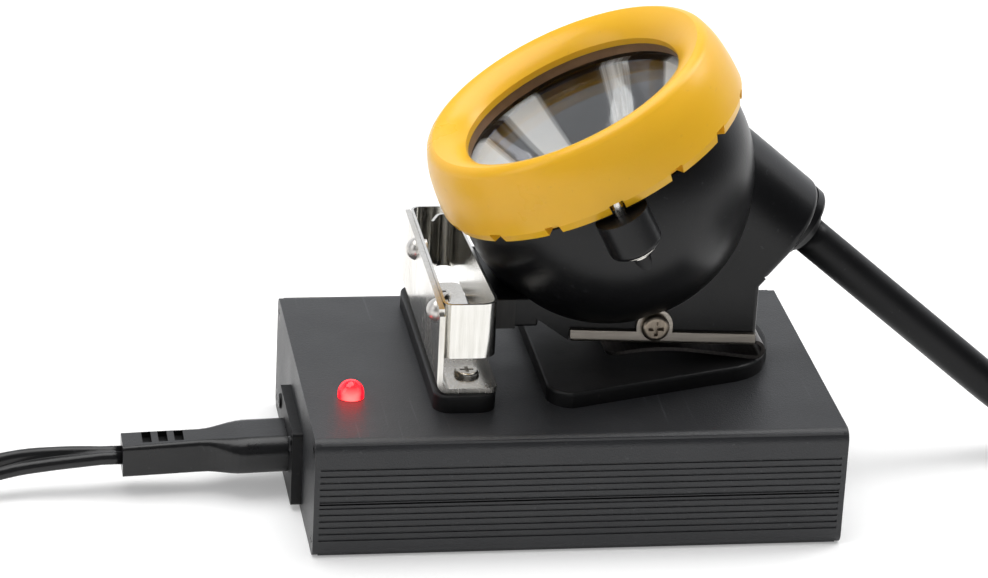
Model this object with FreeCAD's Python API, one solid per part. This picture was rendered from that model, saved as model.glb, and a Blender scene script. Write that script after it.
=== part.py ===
import FreeCAD, Part
import math
import os

# Miner's cap lamp standing on its charging dock, in millimetres.
# Origin: middle of the dock's base. +X along the dock, +Y away from the viewer, +Z up.

V = FreeCAD.Vector
os.makedirs("parts", exist_ok=True)

# Clearances
touch_gap = 0.1
slide_gap = 0.3
running_fit = 0.05

# Dock case
case_length = 115.0
case_depth = 78.2
case_height = 27.1
case_wall = 2.0
case_edge_r = 2.5
seam_z = 12.6
seam_width = 0.4
tongue_height = 1.4
end_plate_t = 1.2
corner_block = 5.2
groove_count = 12
groove_pitch = 1.5
groove_width = 0.55
groove_depth = 0.28
groove_first_z = 4.0
end_screw_inset = 3.0
end_screw_r = 1.1
end_screw_head_r = 1.9
end_screw_head_t = 0.8
end_screw_length = 8.0

# Mains inlet and connector
inlet_y = -3.4
inlet_z = 9.9
inlet_flange_w = 26.2
inlet_flange_h = 17.2
inlet_flange_t = 2.3
inlet_body_w = 20.0
inlet_body_h = 13.0
inlet_body_depth = 13.5
socket_w = 15.6
socket_h = 8.8
socket_depth = 11.5
socket_pin_r = 1.2
socket_pin_spacing = 8.6
socket_pin_length = 10.0
inlet_screw_offset = 10.9
connector_w = 15.2
connector_h = 8.4
connector_length = 35.6
connector_end_w = 8.4
connector_end_h = 7.2
connector_end_drop = 1.7
connector_waist_w = 7.6
connector_waist_h = 7.6
connector_waist_drop = 1.0
connector_waist_at = 18.6
connector_shoulder_at = 9.0
grip_notch_count = 3
grip_notch_first = 4.4
grip_notch_pitch = 3.5
grip_notch_w = 2.0
grip_notch_depth = 1.3
grip_notch_wall = 0.7

# Inside of the dock
board_t = 1.6
board_inset_left = 15.5
board_inset_right = 3.5
transformer_x = 12.0
transformer_w = 26.0
transformer_d = 14.0
transformer_h = 15.0
transformer_leg = 7.0
winding_t = 3.4
capacitor_r = 5.0
capacitor_h = 12.0
led_inset = 10.1
led_y = -15.9
led_r = 2.8
led_height = 3.7
led_flange_r = 3.3
led_flange_t = 1.0

# Contact side of the dock
pad_x0 = -30.6
pad_x1 = -17.0
pad_y0 = -25.8
pad_y1 = 35.0
pad_t = 3.9
pad_corner_r = 3.8
sheet_t = 1.2
bracket_x = -30.1
bracket_foot_x1 = -16.8
bracket_y0 = -24.3
bracket_y1 = 32.9
bracket_top_z = 50.3
bracket_bend_r = 2.1
bracket_notch = 1.2
foot_screw_x = -22.6
foot_screw_inset_y = 7.5
foot_screw_r = 1.5
foot_screw_head_r = 2.7
foot_screw_head_t = 1.1
rivet_z = 47.6
rivet_front_y = -17.2
rivet_back_y = 16.4
rivet_r = 1.2
rivet_head_r = 2.5
rivet_head_t = 1.9
band_t = 0.6
band_z0 = 37.8
band_height = 12.5
band_front_y = -20.8
band_arm_front_x = -17.0
band_arm_back_x = -19.3
band_back_y = 34.5
band_back_x1 = -21.0
band_hook_y = 30.0
band_hook_x = -23.0
band_tip_x = -24.9
band_tip_y = 25.8
band_corner_r = 2.0
band_nose_r = 3.2

# Rest plate under the lamp
rest_plate_t = 3.5
rest_plate_x0 = -5.4
rest_plate_x1 = 48.3
rest_plate_half = 30.6
rest_screw_r = 1.4
rest_screw_head_r = 2.8

# Headpiece: axis of the light
mid_y = 6.0
light_tilt = 27.05
lip_x = 1.26
lip_z = 85.95
lip_r = 25.1
crown_r = 31.2
crown_h = 4.26
bezel_r = 35.5
bezel_widest_h = 10.5
bezel_rear_r = 34.8
bezel_rear_h = 12.3
bezel_lip_t = 1.4
lip_face_share = 0.6
bezel_bore_r = 31.0
notch_count = 15
notch_w = 3.2
notch_depth = 2.2
notch_floor_r = 31.95
notch_angle = 91.2
lens_r = 28.4
lens_t = 2.5
gasket_t = 2.3
gasket_w = 2.9
reflector_top_r = 24.3
reflector_bottom_r = 4.0
reflector_depth = 17.6
reflector_wall = 1.0
led_board_r = 10.0
led_board_t = 1.6
emitter_r = 1.9
heat_sink_t = 3.0
heat_sink_fin_h = 5.0

# Headpiece body
bowl_r = 32.8
bowl_h = 18.8
cradle_half = 14.3
cradle_edge_r = 1.1
cavity_r = 26.5
lower_cavity_r = 17.0
lower_cavity_floor_h = 43.0
leg_x = 42.8
heel_x = 0.9
heel_z = 35.9
cable_exit_x = 55.43
cable_exit_z = 54.87
cable_fall = 39.8
gland_length = 5.0
gland_r = 9.3
gland_end_r = 5.2
cable_inner_length = 18.0
lug_top = 9.7
lug_bottom = 11.5
lug_length = 30.0
nose_x0 = -16.2
nose_x1 = -6.0
nose_z0 = 39.3
nose_z1 = 46.0
contact_t = 0.8
contact_tab_x1 = -11.2

# Lock screw of the bezel
boss_r = 5.9
boss_top_h = 13.7
boss_bottom_h = 22.6
boss_round_r = 1.4
boss_axis_r = 33.3
lock_pin_r = 1.3
lock_pin_play = 0.4
lock_head_r = 2.0
lock_head_t = 1.3
lock_nut_r = 4.3
lock_nut_t = 0.6

# Switch on the far side
knob_h = 21.5
switch_boss_r = 8.6
switch_boss_y = 39.6
knob_r = 8.0
knob_t = 9.0
knob_grip_w = 4.0
shaft_r = 2.5
switch_unit_y0 = 24.4
switch_unit_y1 = 31.5
switch_unit_w = 12.0
switch_unit_h = 7.0
seal_r = 4.2

# Hook for the cap
hook_x0 = 1.1
hook_x1 = 42.4
hook_t = 1.2
hook_top_z = 37.2
hook_slope = 0.045
hook_flange_h = 1.6
hook_tab_x = 19.7
hook_tab_z = 39.4
hook_tab_r = 4.0
hook_screw_r = 1.5
hook_screw_head_r = 3.1
hook_screw_head_t = 1.7
hook_screw_length = 9.0
leaf_t = 0.8
leaf_half = 15.0
leaf_bend_x = 42.7
leaf_bend_z = 33.0
leaf_bend_r = 1.8
leaf_rise = 8.0
leaf_crest_x = 20.0
leaf_crest_turn = 19.5
leaf_crest_r = 50.0
leaf_end_x = 9.6

# Lamp cable
cable_d = 8.6
cable_route = [
    (115.1, 6.0, 5.2),
    (144.0, -1.5, 5.2),
    (172.5, -34.8, 5.2),
]
cable_coil_start = (200.0, -34.8, 5.2)
cable_coil_r = 48.6
cable_coil_pitch = 9.4
cable_coil_rise = 9.4
cable_coil_arc_count = 3
cable_tail_route = [
    (218.0, -25.4, 14.6),
    (243.5, 0.1, 24.2),
    (243.5, 28.0, 26.2),
    (221.0, 57.0, 27.8),
]
battery_plug_start = (203.0, 57.0, 27.8)
battery_plug_turn = 90
battery_plug_r = 7.4
battery_plug_length = 26.0
battery_nut_r = 8.6
battery_nut_length = 13.0
battery_pin_r = 1.0
battery_pin_length = 7.0
battery_pin_count = 3
battery_pin_circle_r = 3.2

# Mains lead
lead_d = 5.8
lead_route = [
    (-105.5, -3.4, 8.2),
    (-124.0, -4.4, 6.9),
    (-146.0, -18.4, 3.8),
]
lead_coil_start = (-166.6, -18.4, 3.8)
lead_coil_r = 41.0
lead_coil_pitch = 6.6
lead_coil_rise = 6.6
lead_coil_arc_count = 5
lead_tail_route = [
    (-186.0, -11.8, 10.4),
    (-201.2, 3.4, 15.8),
    (-201.2, 24.9, 18.6),
    (-186.0, 40.1, 21.4),
]
mains_plug_start = (-172.0, 40.1, 21.4)
mains_plug_turn = -90
mains_plug_length = 28.0
mains_plug_w = 24.0
mains_plug_t = 13.8
mains_plug_neck_w = 11.0
mains_blade_w = 6.3
mains_blade_t = 1.5
mains_blade_length = 17.0
mains_blade_spacing = 12.7
mains_blade_root = 8.0

# Ties round the coils
tie_t = 0.6
tie_w = 12.0
tie_gap = 0.3

# Derived places
gasket_h = bezel_lip_t
lens_h = gasket_h + gasket_t
collar_top_h = lens_h + lens_t
reflector_top_h = collar_top_h + touch_gap
reflector_bottom_h = reflector_top_h + reflector_depth
led_board_bottom_h = reflector_bottom_h + led_board_t
heat_sink_bottom_h = led_board_bottom_h + heat_sink_t
shoulder_h = bezel_rear_h + slide_gap
body_y0 = mid_y - cradle_half
body_y1 = mid_y + cradle_half
case_x0 = -case_length / 2 + end_plate_t
case_x1 = -case_x0
pad_top = case_height + pad_t
rest_top = case_height + rest_plate_t
board_z = corner_block
board_x0 = -case_length / 2 + board_inset_left
board_x1 = case_length / 2 - board_inset_right
led_x = -case_length / 2 + led_inset
inlet_face_x = -case_length / 2 - inlet_flange_t
connector_x = inlet_face_x - 0.2
gland_bore_r = cable_d / 2 + running_fit


def box(x0, x1, y0, y1, z0, z1):
    return Part.makeBox(x1 - x0, y1 - y0, z1 - z0, V(x0, y0, z0))


def cylinder(r, start, direction, length):
    return Part.makeCylinder(r, length, V(*start), V(*direction))


def ring(outer_r, inner_r, h0, h1):
    outer = Part.makeCylinder(outer_r, h1 - h0, V(0, 0, h0))
    return outer.cut(Part.makeCylinder(inner_r, h1 - h0 + 2, V(0, 0, h0 - 1)))


def turned(outline):
    # A body of revolution about Z; outline is a closed list of (radius, height).
    points = [V(r, 0, h) for r, h in outline]
    face = Part.Face(Part.makePolygon(points + [points[0]]))
    return face.revolve(V(0, 0, 0), V(0, 0, 1), 360)


def on_light_axis(shape):
    # From a frame whose Z is the axis of the light, with its origin in the bezel's lip plane.
    placed = shape.copy()
    turn = FreeCAD.Rotation(V(0, 1, 0), -light_tilt)
    placed.Placement = FreeCAD.Placement(V(lip_x, mid_y, lip_z), turn).multiply(placed.Placement)
    return placed


def light_axis_point(h):
    # The point on the light's axis at a depth h below the lip plane.
    a = math.radians(light_tilt)
    return (lip_x + math.sin(a) * h, mid_y, lip_z - math.cos(a) * h)


def on_cable_axis(shape):
    # From a frame whose Z runs along the cable, with its origin where the gland meets the lug.
    placed = shape.copy()
    turn = FreeCAD.Rotation(V(0, 1, 0), 90 + cable_fall)
    placed.Placement = FreeCAD.Placement(gland_face(), turn).multiply(placed.Placement)
    return placed


def cable_direction():
    a = math.radians(cable_fall)
    return V(math.cos(a), 0, -math.sin(a))


def gland_face():
    exit_point = V(cable_exit_x, mid_y, cable_exit_z)
    return exit_point - cable_direction() * gland_length


def flat_face(points, to_space):
    corners = [to_space(x, y) for x, y in points]
    return Part.Face(Part.makePolygon(corners + [corners[0]]))


def extruded_xz(points, y0, y1):
    face = flat_face(points, lambda x, z: V(x, y0, z))
    return face.extrude(V(0, y1 - y0, 0))


def unit(x, y):
    size = math.hypot(x, y)
    return (x / size, y / size)


def strip(points, radii, thickness, to_space):
    # Sheet metal seen from its edge: a band of even thickness along a bent line.
    legs = [unit(b[0] - a[0], b[1] - a[1]) for a, b in zip(points, points[1:])]
    sides = []
    for side in (0.5, -0.5):
        offset = side * thickness
        edges = []
        x, y = points[0]
        last = (x - legs[0][1] * offset, y + legs[0][0] * offset)
        for i, corner in enumerate(points[1:-1]):
            a, b = legs[i], legs[i + 1]
            cross = a[0] * b[1] - a[1] * b[0]
            turn = math.acos(a[0] * b[0] + a[1] * b[1])
            left = 1.0 if cross > 0 else -1.0
            back = radii[i] * math.tan(turn / 2)
            start = (corner[0] - a[0] * back, corner[1] - a[1] * back)
            centre = (start[0] - a[1] * left * radii[i], start[1] + a[0] * left * radii[i])
            r = radii[i] - left * offset
            arc = []
            for share in (0.0, 0.5, 1.0):
                angle = left * turn * share
                ox, oy = a[1] * left * r, -a[0] * left * r
                c, s = math.cos(angle), math.sin(angle)
                arc.append((centre[0] + ox * c - oy * s, centre[1] + ox * s + oy * c))
            if math.dist(last, arc[0]) > 0.001:
                edges.append(Part.makeLine(to_space(*last), to_space(*arc[0])))
            edges.append(Part.Arc(*[to_space(*p) for p in arc]).toShape())
            last = arc[2]
        x, y = points[-1]
        end = (x - legs[-1][1] * offset, y + legs[-1][0] * offset)
        edges.append(Part.makeLine(to_space(*last), to_space(*end)))
        sides.append(edges)
    caps = []
    for k in (0, -1):
        leg = legs[k]
        x, y = points[k]
        ends = [(x - leg[1] * o * thickness, y + leg[0] * o * thickness) for o in (0.5, -0.5)]
        caps.append(Part.makeLine(to_space(*ends[0]), to_space(*ends[1])))
    wire = Part.Wire(Part.__sortEdges__(sides[0] + sides[1] + caps))
    return Part.Face(wire)


def slot_section(x, y, z, width, height):
    # A slot shape, flat along Y, across the X axis.
    r = height / 2
    half = width / 2 - r
    top = Part.makeLine(V(x, y - half, z + r), V(x, y + half, z + r))
    right = Part.Arc(V(x, y + half, z + r), V(x, y + half + r, z), V(x, y + half, z - r)).toShape()
    low = Part.makeLine(V(x, y + half, z - r), V(x, y - half, z - r))
    left = Part.Arc(V(x, y - half, z - r), V(x, y - half - r, z), V(x, y - half, z + r)).toShape()
    return Part.Wire([top, right, low, left])


def slot_bar(x0, x1, y, z, width, height):
    return Part.Face(slot_section(x0, y, z, width, height)).extrude(V(x1 - x0, 0, 0))


def edges_along(shape, direction):
    d = V(*direction)
    found = []
    for edge in shape.Edges:
        if edge.Curve.TypeId == "Part::GeomLine" and abs(edge.tangentAt(edge.FirstParameter).dot(d)) > 0.999:
            found.append(edge)
    return found


def volume_note(name, shape, length, diameter):
    section = math.pi * diameter ** 2 / 4
    print(f"{name}: volume is {shape.Volume / (section * length):.4f} of section x length")


def tube(name, points, diameter):
    # Straight runs joined by arcs as large as the runs allow.
    points = [V(*p) for p in points]
    edges = []
    last = points[0]
    for k, (a, b, c) in enumerate(zip(points, points[1:], points[2:])):
        first, second = (b - a), (c - b)
        before = first.Length * (0.9 if k == 0 else 0.45)
        after = second.Length * (0.9 if k == len(points) - 3 else 0.45)
        first.normalize()
        second.normalize()
        turn = math.acos(max(-1.0, min(1.0, first.dot(second))))
        back = min(before, after)
        radius = back / math.tan(turn / 2)
        print(f"{name}: radius {radius:.1f} mm, {radius / diameter:.1f} diameters")
        start, end = b - first * back, b + second * back
        inward = second - first
        inward.normalize()
        reach = radius / math.cos(turn / 2) - radius
        edges.append(Part.LineSegment(last, start).toShape())
        edges.append(Part.Arc(start, b + inward * reach, end).toShape())
        last = end
    edges.append(Part.LineSegment(last, points[-1]).toShape())
    path = Part.Wire(edges)
    heading = points[1] - points[0]
    section = Part.Wire(Part.makeCircle(diameter / 2, points[0], heading))
    solid = path.makePipeShell([section], True, False)
    print(f"{name}: length {path.Length:.0f} mm")
    volume_note(name, solid, path.Length, diameter)
    return solid


def coil_path(start, side, outer_r, pitch, rise, arc_count):
    # A coil in two layers: half turns spiral in, one climbs, and the rest spiral out on top.
    # It starts and ends at the front, heading along side * X, and curls towards +Y.
    radii = [outer_r - k * pitch / 2 for k in range(arc_count + 1)]
    radii += [radii[arc_count] + k * pitch / 2 for k in range(1, arc_count)]
    x, y, z = start
    points = [V(x, y, z)]
    middles = []
    for k, r in enumerate(radii):
        outward = side if k % 2 == 0 else -side
        step = 2 * r if k % 2 == 0 else -2 * r
        climb = rise if k == arc_count else 0.0
        reach = math.hypot(r, climb / 2)
        a = points[-1]
        middles.append(V(x + outward * reach, a.y + step / 2, a.z + climb / 2))
        points.append(V(x, a.y + step, a.z + climb))
    return points, middles


def coil_stub(side, diameter):
    return V(side, 0, 0) * diameter * 0.2


def coil(name, diameter, start, side, outer_r, pitch, rise, arc_count):
    points, middles = coil_path(start, side, outer_r, pitch, rise, arc_count)
    ahead = coil_stub(side, diameter)
    edges = [Part.LineSegment(points[0] - ahead, points[0]).toShape()]
    for a, m, b in zip(points, middles, points[1:]):
        half = Part.Arc(a, m, b).toShape()
        edges.append(half)
    edges.append(Part.LineSegment(points[-1], points[-1] + ahead).toShape())
    path = Part.Wire(edges)
    section = Part.Wire(Part.makeCircle(diameter / 2, points[0] - ahead, V(side, 0, 0)))
    solid = path.makePipeShell([section], True, False)
    samples = path.discretize(Number=700)
    step = path.Length / 699
    skip = int(3 * diameter / step)
    least = min(
        a.distanceToPoint(b) for i, a in enumerate(samples) for b in samples[i + skip :]
    )
    print(f"{name}: length {path.Length:.0f} mm, least gap to itself {least - diameter:.2f} mm")
    volume_note(name, solid, path.Length, diameter)
    return solid, points[-1] + ahead


def tie(start, side, diameter, outer_r, pitch, rise, arc_count):
    # A flat strap round all turns, on the side where the half turns from the back pass.
    points, middles = coil_path(start, side, outer_r, pitch, rise, arc_count)
    passing = [m for m in middles if (m.x - start[0]) * side < 0]
    centre_y = sum(m.y for m in passing) / len(passing)
    reaches = [abs(m.x - start[0]) for m in passing]
    edge_reaches = []
    for m, reach in zip(passing, reaches):
        off = abs(m.y - centre_y) + tie_w / 2
        edge_reaches.append(math.sqrt(reach ** 2 - off ** 2))
    inner = min(edge_reaches) - diameter / 2 - tie_gap
    outer = max(reaches) + diameter / 2 + tie_gap
    low = start[2] - diameter / 2 - tie_gap
    high = start[2] + rise + diameter / 2 + tie_gap
    xs = sorted(start[0] - side * v for v in (inner, outer))
    y0, y1 = centre_y - tie_w / 2, centre_y + tie_w / 2
    hole = box(xs[0], xs[1], y0 - 1, y1 + 1, low, high)
    band = box(xs[0] - tie_t, xs[1] + tie_t, y0, y1, low - tie_t, high + tie_t)
    band = band.makeFillet(tie_t, edges_along(band, (0, 1, 0)))
    return band.cut(hole)


# Dock case


def case_block():
    half = case_depth / 2
    block = box(case_x0, case_x1, -half, half, 0, case_height)
    block = block.makeFillet(case_edge_r, edges_along(block, (1, 0, 0)))
    inside = box(
        case_x0 - 1, case_x1 + 1, -half + case_wall, half - case_wall, case_wall, case_height - case_wall
    )
    corners = [
        box(case_x0, case_x1, y0, y1, z0, z1)
        for y0, y1 in ((-half + 0.5, -half + corner_block), (half - corner_block, half - 0.5))
        for z0, z1 in ((0.5, corner_block), (case_height - corner_block, case_height - 0.5))
    ]
    block = block.cut(inside).fuse(corners).removeSplitter()
    grooves = []
    for i in range(groove_count):
        z = groove_first_z + i * groove_pitch
        for side in (-1, 1):
            face = side * half
            grooves.append(
                box(case_x0 - 1, case_x1 + 1, face - groove_depth, face + groove_depth, z, z + groove_width)
            )
    screws = [
        cylinder(end_screw_r + running_fit, (x, y, z), (d, 0, 0), end_screw_length + 1)
        for x, d in ((case_x0 - 0.5, 1), (case_x1 + 0.5, -1))
        for y, z in end_screw_places()
    ]
    return block.cut(grooves + screws)


def end_screw_places():
    half = case_depth / 2 - end_screw_inset
    return [(y, z) for y in (-half, half) for z in (end_screw_inset, case_height - end_screw_inset)]


def tongues(gap):
    # The lower half's lips, which the upper half's walls cover on the outside.
    half = case_depth / 2
    t = case_wall / 2 + gap
    y_in = half - case_wall
    z1 = seam_z + tongue_height + gap
    shapes = []
    for side in (-1, 1):
        ys = sorted((side * y_in, side * (y_in + t)))
        shapes.append(box(case_x0 - gap, case_x1 + gap, ys[0], ys[1], seam_z - seam_width, z1))
    return shapes


def case_lower():
    below = box(-case_length, case_length, -case_depth, case_depth, -1, seam_z - seam_width / 2)
    lower = case_block().common(below)
    lips = [lip.common(case_block()) for lip in tongues(0)]
    return lower.fuse(lips).removeSplitter()


def case_upper():
    above = box(-case_length, case_length, -case_depth, case_depth, seam_z + seam_width / 2, case_height + 1)
    upper = case_block().common(above).cut(tongues(touch_gap))
    led_hole = cylinder(led_r + running_fit, (led_x, led_y, case_height - 5), (0, 0, 1), 9)
    foot_holes = [
        cylinder(foot_screw_r + running_fit, (foot_screw_x, y, case_height - 5), (0, 0, 1), 9)
        for y in foot_screw_ys()
    ]
    rest_holes = [
        cylinder(rest_screw_r + running_fit, (x, y, case_height - 5), (0, 0, 1), 9)
        for x, y in rest_screw_places()
    ]
    return upper.cut([led_hole] + foot_holes + rest_holes)


def end_plate(side):
    half = case_depth / 2
    xs = sorted((side * case_length / 2, side * case_x1))
    plate = box(xs[0], xs[1], -half, half, 0, case_height)
    plate = plate.makeFillet(case_edge_r, edges_along(plate, (1, 0, 0)))
    holes = []
    for y, z in end_screw_places():
        face = (side * case_length / 2, y, z)
        holes.append(cylinder(end_screw_r + running_fit, (xs[0] - 1, y, z), (1, 0, 0), end_plate_t + 2))
        holes.append(sunk_head(face, (side, 0, 0), end_screw_r, end_screw_head_r, end_screw_head_t, running_fit))
    return plate.cut(holes)


def end_plate_left():
    opening = box(
        -case_length,
        case_x0 + 1,
        inlet_y - inlet_body_w / 2 - touch_gap,
        inlet_y + inlet_body_w / 2 + touch_gap,
        inlet_z - inlet_body_h / 2 - touch_gap,
        inlet_z + inlet_body_h / 2 + touch_gap,
    )
    return end_plate(-1).cut(opening)


def end_plate_right():
    return end_plate(1)


def cross_slot(centre, direction, r, depth):
    # A cross recess in a screw head; direction points out of the head.
    x, y, z = centre
    arm, width = r * 1.1, r * 0.28
    bars = [
        Part.makeBox(arm, width, depth + 1, V(-arm / 2, -width / 2, -depth)),
        Part.makeBox(width, arm, depth + 1, V(-width / 2, -arm / 2, -depth)),
    ]
    slot = bars[0].fuse(bars[1])
    slot.Placement = FreeCAD.Placement(V(x, y, z), FreeCAD.Rotation(V(0, 0, 1), V(*direction)))
    return slot


def pan_screw(face, direction, r, length, head_r, head_t):
    # Head on the side that direction points to, shank the other way from the face.
    d = V(*direction)
    head = Part.makeCylinder(head_r, head_t, V(*face), d)
    top = V(*face) + d * head_t
    rim = [e for e in head.Edges if e.Curve.TypeId == "Part::GeomCircle" and abs((e.Curve.Center - top).Length) < 0.01]
    head = head.makeFillet(head_t * 0.55, rim)
    shank = Part.makeCylinder(r, length, V(*face), d * -1)
    screw = head.fuse(shank).removeSplitter()
    return screw.cut(cross_slot((top.x, top.y, top.z), direction, head_r, head_t * 0.6))


def sunk_head(face, direction, r, head_r, head_t, gap):
    # A cone that widens towards the face, which direction points out of.
    d = V(*direction)
    return Part.makeCone(r + gap, head_r + gap, head_t, V(*face) - d * head_t, d)


def sunk_screw(face, direction, r, length, head_r, head_t):
    d = V(*direction)
    head = sunk_head(face, direction, r, head_r, head_t, 0)
    shank = Part.makeCylinder(r, length - head_t, V(*face) - d * head_t, d * -1)
    return head.fuse(shank).removeSplitter().cut(cross_slot(face, direction, head_r, head_t * 0.7))


def end_plate_screws():
    screws = []
    for side in (-1, 1):
        for y, z in end_screw_places():
            face = (side * case_length / 2, y, z)
            length = end_screw_length
            screws.append(sunk_screw(face, (side, 0, 0), end_screw_r, length, end_screw_head_r, end_screw_head_t))
    return Part.makeCompound(screws)


# Mains inlet


def mains_inlet():
    flange = box(
        inlet_face_x,
        -case_length / 2,
        inlet_y - inlet_flange_w / 2,
        inlet_y + inlet_flange_w / 2,
        inlet_z - inlet_flange_h / 2,
        inlet_z + inlet_flange_h / 2,
    )
    flange = flange.makeFillet(0.8, edges_along(flange, (1, 0, 0)))
    body = box(
        -case_length / 2,
        -case_length / 2 + inlet_body_depth,
        inlet_y - inlet_body_w / 2,
        inlet_y + inlet_body_w / 2,
        inlet_z - inlet_body_h / 2,
        inlet_z + inlet_body_h / 2,
    )
    socket = slot_bar(inlet_face_x - 1, inlet_face_x + socket_depth, inlet_y, inlet_z, socket_w, socket_h)
    cuts = [socket]
    for y in inlet_pin_ys():
        cuts.append(cylinder(socket_pin_r, (inlet_face_x, y, inlet_z), (1, 0, 0), 40))
    for y in inlet_screw_ys():
        cuts.append(cylinder(0.9, (inlet_face_x - 1, y, inlet_z + 5.4), (1, 0, 0), inlet_flange_t + 2))
    return flange.fuse(body).removeSplitter().cut(cuts)


def inlet_pin_ys():
    return [inlet_y - socket_pin_spacing / 2, inlet_y + socket_pin_spacing / 2]


def inlet_screw_ys():
    return [inlet_y - inlet_screw_offset, inlet_y + inlet_screw_offset]


def inlet_pins():
    back = -case_length / 2 + inlet_body_depth + 3
    pins = []
    for y in inlet_pin_ys():
        start = inlet_face_x + socket_depth - socket_pin_length
        pin = cylinder(socket_pin_r, (start, y, inlet_z), (1, 0, 0), back - start)
        tip = Part.makeSphere(socket_pin_r, V(start, y, inlet_z))
        pins.append(pin.fuse(tip).removeSplitter())
    return Part.makeCompound(pins)


def inlet_screws():
    return Part.makeCompound(
        [
            pan_screw((inlet_face_x, y, inlet_z + 5.4), (-1, 0, 0), 0.85, inlet_flange_t, 1.7, 0.6)
            for y in inlet_screw_ys()
        ]
    )


# Inside the dock


def charger_board():
    half = case_depth / 2 - case_wall - slide_gap
    return box(board_x0, board_x1, -half, half, board_z, board_z + board_t)


def transformer_core():
    z0 = board_z + board_t
    x0, x1 = transformer_x - transformer_w / 2, transformer_x + transformer_w / 2
    core = box(x0, x1, -transformer_d / 2, transformer_d / 2, z0, z0 + transformer_h)
    wall = (transformer_w - transformer_leg) / 2 - 4.0
    window_w = (transformer_w - transformer_leg) / 2 - wall
    windows = []
    for side in (-1, 1):
        xs = sorted((transformer_x + side * transformer_leg / 2, transformer_x + side * (transformer_leg / 2 + window_w)))
        windows.append(box(xs[0], xs[1], -transformer_d, transformer_d, z0 + 2.5, z0 + transformer_h - 2.5))
    return core.cut(windows)


def transformer_winding():
    z0 = board_z + board_t + 2.5 + touch_gap
    z1 = board_z + board_t + transformer_h - 2.5 - touch_gap
    leg_x = transformer_leg / 2 + touch_gap
    leg_y = transformer_d / 2 + touch_gap
    outer = box(
        transformer_x - leg_x - winding_t, transformer_x + leg_x + winding_t, -leg_y - winding_t, leg_y + winding_t, z0, z1
    )
    outer = outer.makeFillet(2.0, edges_along(outer, (0, 0, 1)))
    return outer.cut(box(transformer_x - leg_x, transformer_x + leg_x, -leg_y, leg_y, z0 - 1, z1 + 1))


def capacitors():
    z0 = board_z + board_t
    cans = []
    for x, y in ((-22.0, -18.0), (-22.0, 4.0), (40.0, -20.0)):
        can = cylinder(capacitor_r, (x, y, z0), (0, 0, 1), capacitor_h)
        cans.append(can.makeFillet(0.8, can.Edges))
    return Part.makeCompound(cans)


def indicator_led():
    base_z = case_height - case_wall - led_flange_t
    flange = cylinder(led_flange_r, (led_x, led_y, base_z), (0, 0, 1), led_flange_t)
    stem = cylinder(led_r, (led_x, led_y, base_z), (0, 0, 1), case_height + led_height - led_r - base_z)
    dome = Part.makeSphere(led_r, V(led_x, led_y, case_height + led_height - led_r))
    legs = [
        cylinder(0.3, (led_x + dx, led_y, base_z - 6), (0, 0, 1), 6.5) for dx in (-1.3, 1.3)
    ]
    return flange.fuse([stem, dome] + legs).removeSplitter()


# Contact side


def foot_screw_ys():
    return [bracket_y0 + foot_screw_inset_y, bracket_y1 - foot_screw_inset_y]


def contact_pad():
    pad = box(pad_x0, pad_x1, pad_y0, pad_y1, case_height, pad_top)
    pad = pad.makeFillet(pad_corner_r, edges_along(pad, (0, 0, 1)))
    top = [e for e in pad.Edges if abs(e.BoundBox.ZMin - pad_top) < 0.01]
    pad = pad.makeFillet(0.6, top)
    holes = [
        cylinder(foot_screw_r + running_fit, (foot_screw_x, y, case_height - 1), (0, 0, 1), pad_t + 2)
        for y in foot_screw_ys()
    ]
    return pad.cut(holes)


def contact_bracket():
    middle = sheet_t / 2
    line = [
        (bracket_foot_x1, pad_top + middle),
        (bracket_x + middle, pad_top + middle),
        (bracket_x + middle, bracket_top_z),
    ]
    face = strip(line, [bracket_bend_r], sheet_t, lambda x, z: V(x, bracket_y0, z))
    plate = face.extrude(V(0, bracket_y1 - bracket_y0, 0))
    foot_corners = [e for e in edges_along(plate, (0, 0, 1)) if e.BoundBox.XMin > bracket_foot_x1 - 0.1]
    plate = plate.makeFillet(2.0, foot_corners)
    notch = box(
        bracket_x - 1,
        bracket_x + 2 * sheet_t,
        bracket_y0 - 1,
        bracket_y0 + bracket_notch,
        bracket_top_z - bracket_notch,
        bracket_top_z + 1,
    )
    cuts = [notch]
    for y in foot_screw_ys():
        cuts.append(cylinder(foot_screw_r + running_fit, (foot_screw_x, y, pad_top - 1), (0, 0, 1), sheet_t + 2))
    for y in (rivet_front_y, rivet_back_y):
        cuts.append(cylinder(rivet_r + running_fit, (bracket_x - 1, y, rivet_z), (1, 0, 0), sheet_t + 2))
    return plate.cut(cuts)


def bracket_screws():
    screws = []
    for y in foot_screw_ys():
        face = (foot_screw_x, y, pad_top + sheet_t)
        length = sheet_t + pad_t + case_wall + 1.0
        screws.append(pan_screw(face, (0, 0, 1), foot_screw_r, length, foot_screw_head_r, foot_screw_head_t))
    return Part.makeCompound(screws)


def band_wall_x():
    return bracket_x + sheet_t + touch_gap + band_t / 2


def spring_band():
    # One strip: back wall, arm along the bracket, front wall, springy arm and its hooked end.
    wall_x = band_wall_x()
    line = [
        (band_back_x1, band_back_y),
        (wall_x, band_back_y),
        (wall_x, band_front_y),
        (band_arm_front_x, band_front_y),
        (band_arm_back_x, band_hook_y),
        (band_hook_x, band_hook_y),
        (band_tip_x, band_tip_y),
    ]
    radii = [band_corner_r, band_corner_r, band_nose_r, band_corner_r, band_corner_r]
    face = strip(line, radii, band_t, lambda x, y: V(x, y, band_z0))
    band = face.extrude(V(0, 0, band_height))
    holes = [
        cylinder(rivet_r + running_fit, (bracket_x, y, rivet_z), (1, 0, 0), 4) for y in (rivet_front_y, rivet_back_y)
    ]
    return band.cut(holes)


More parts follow.
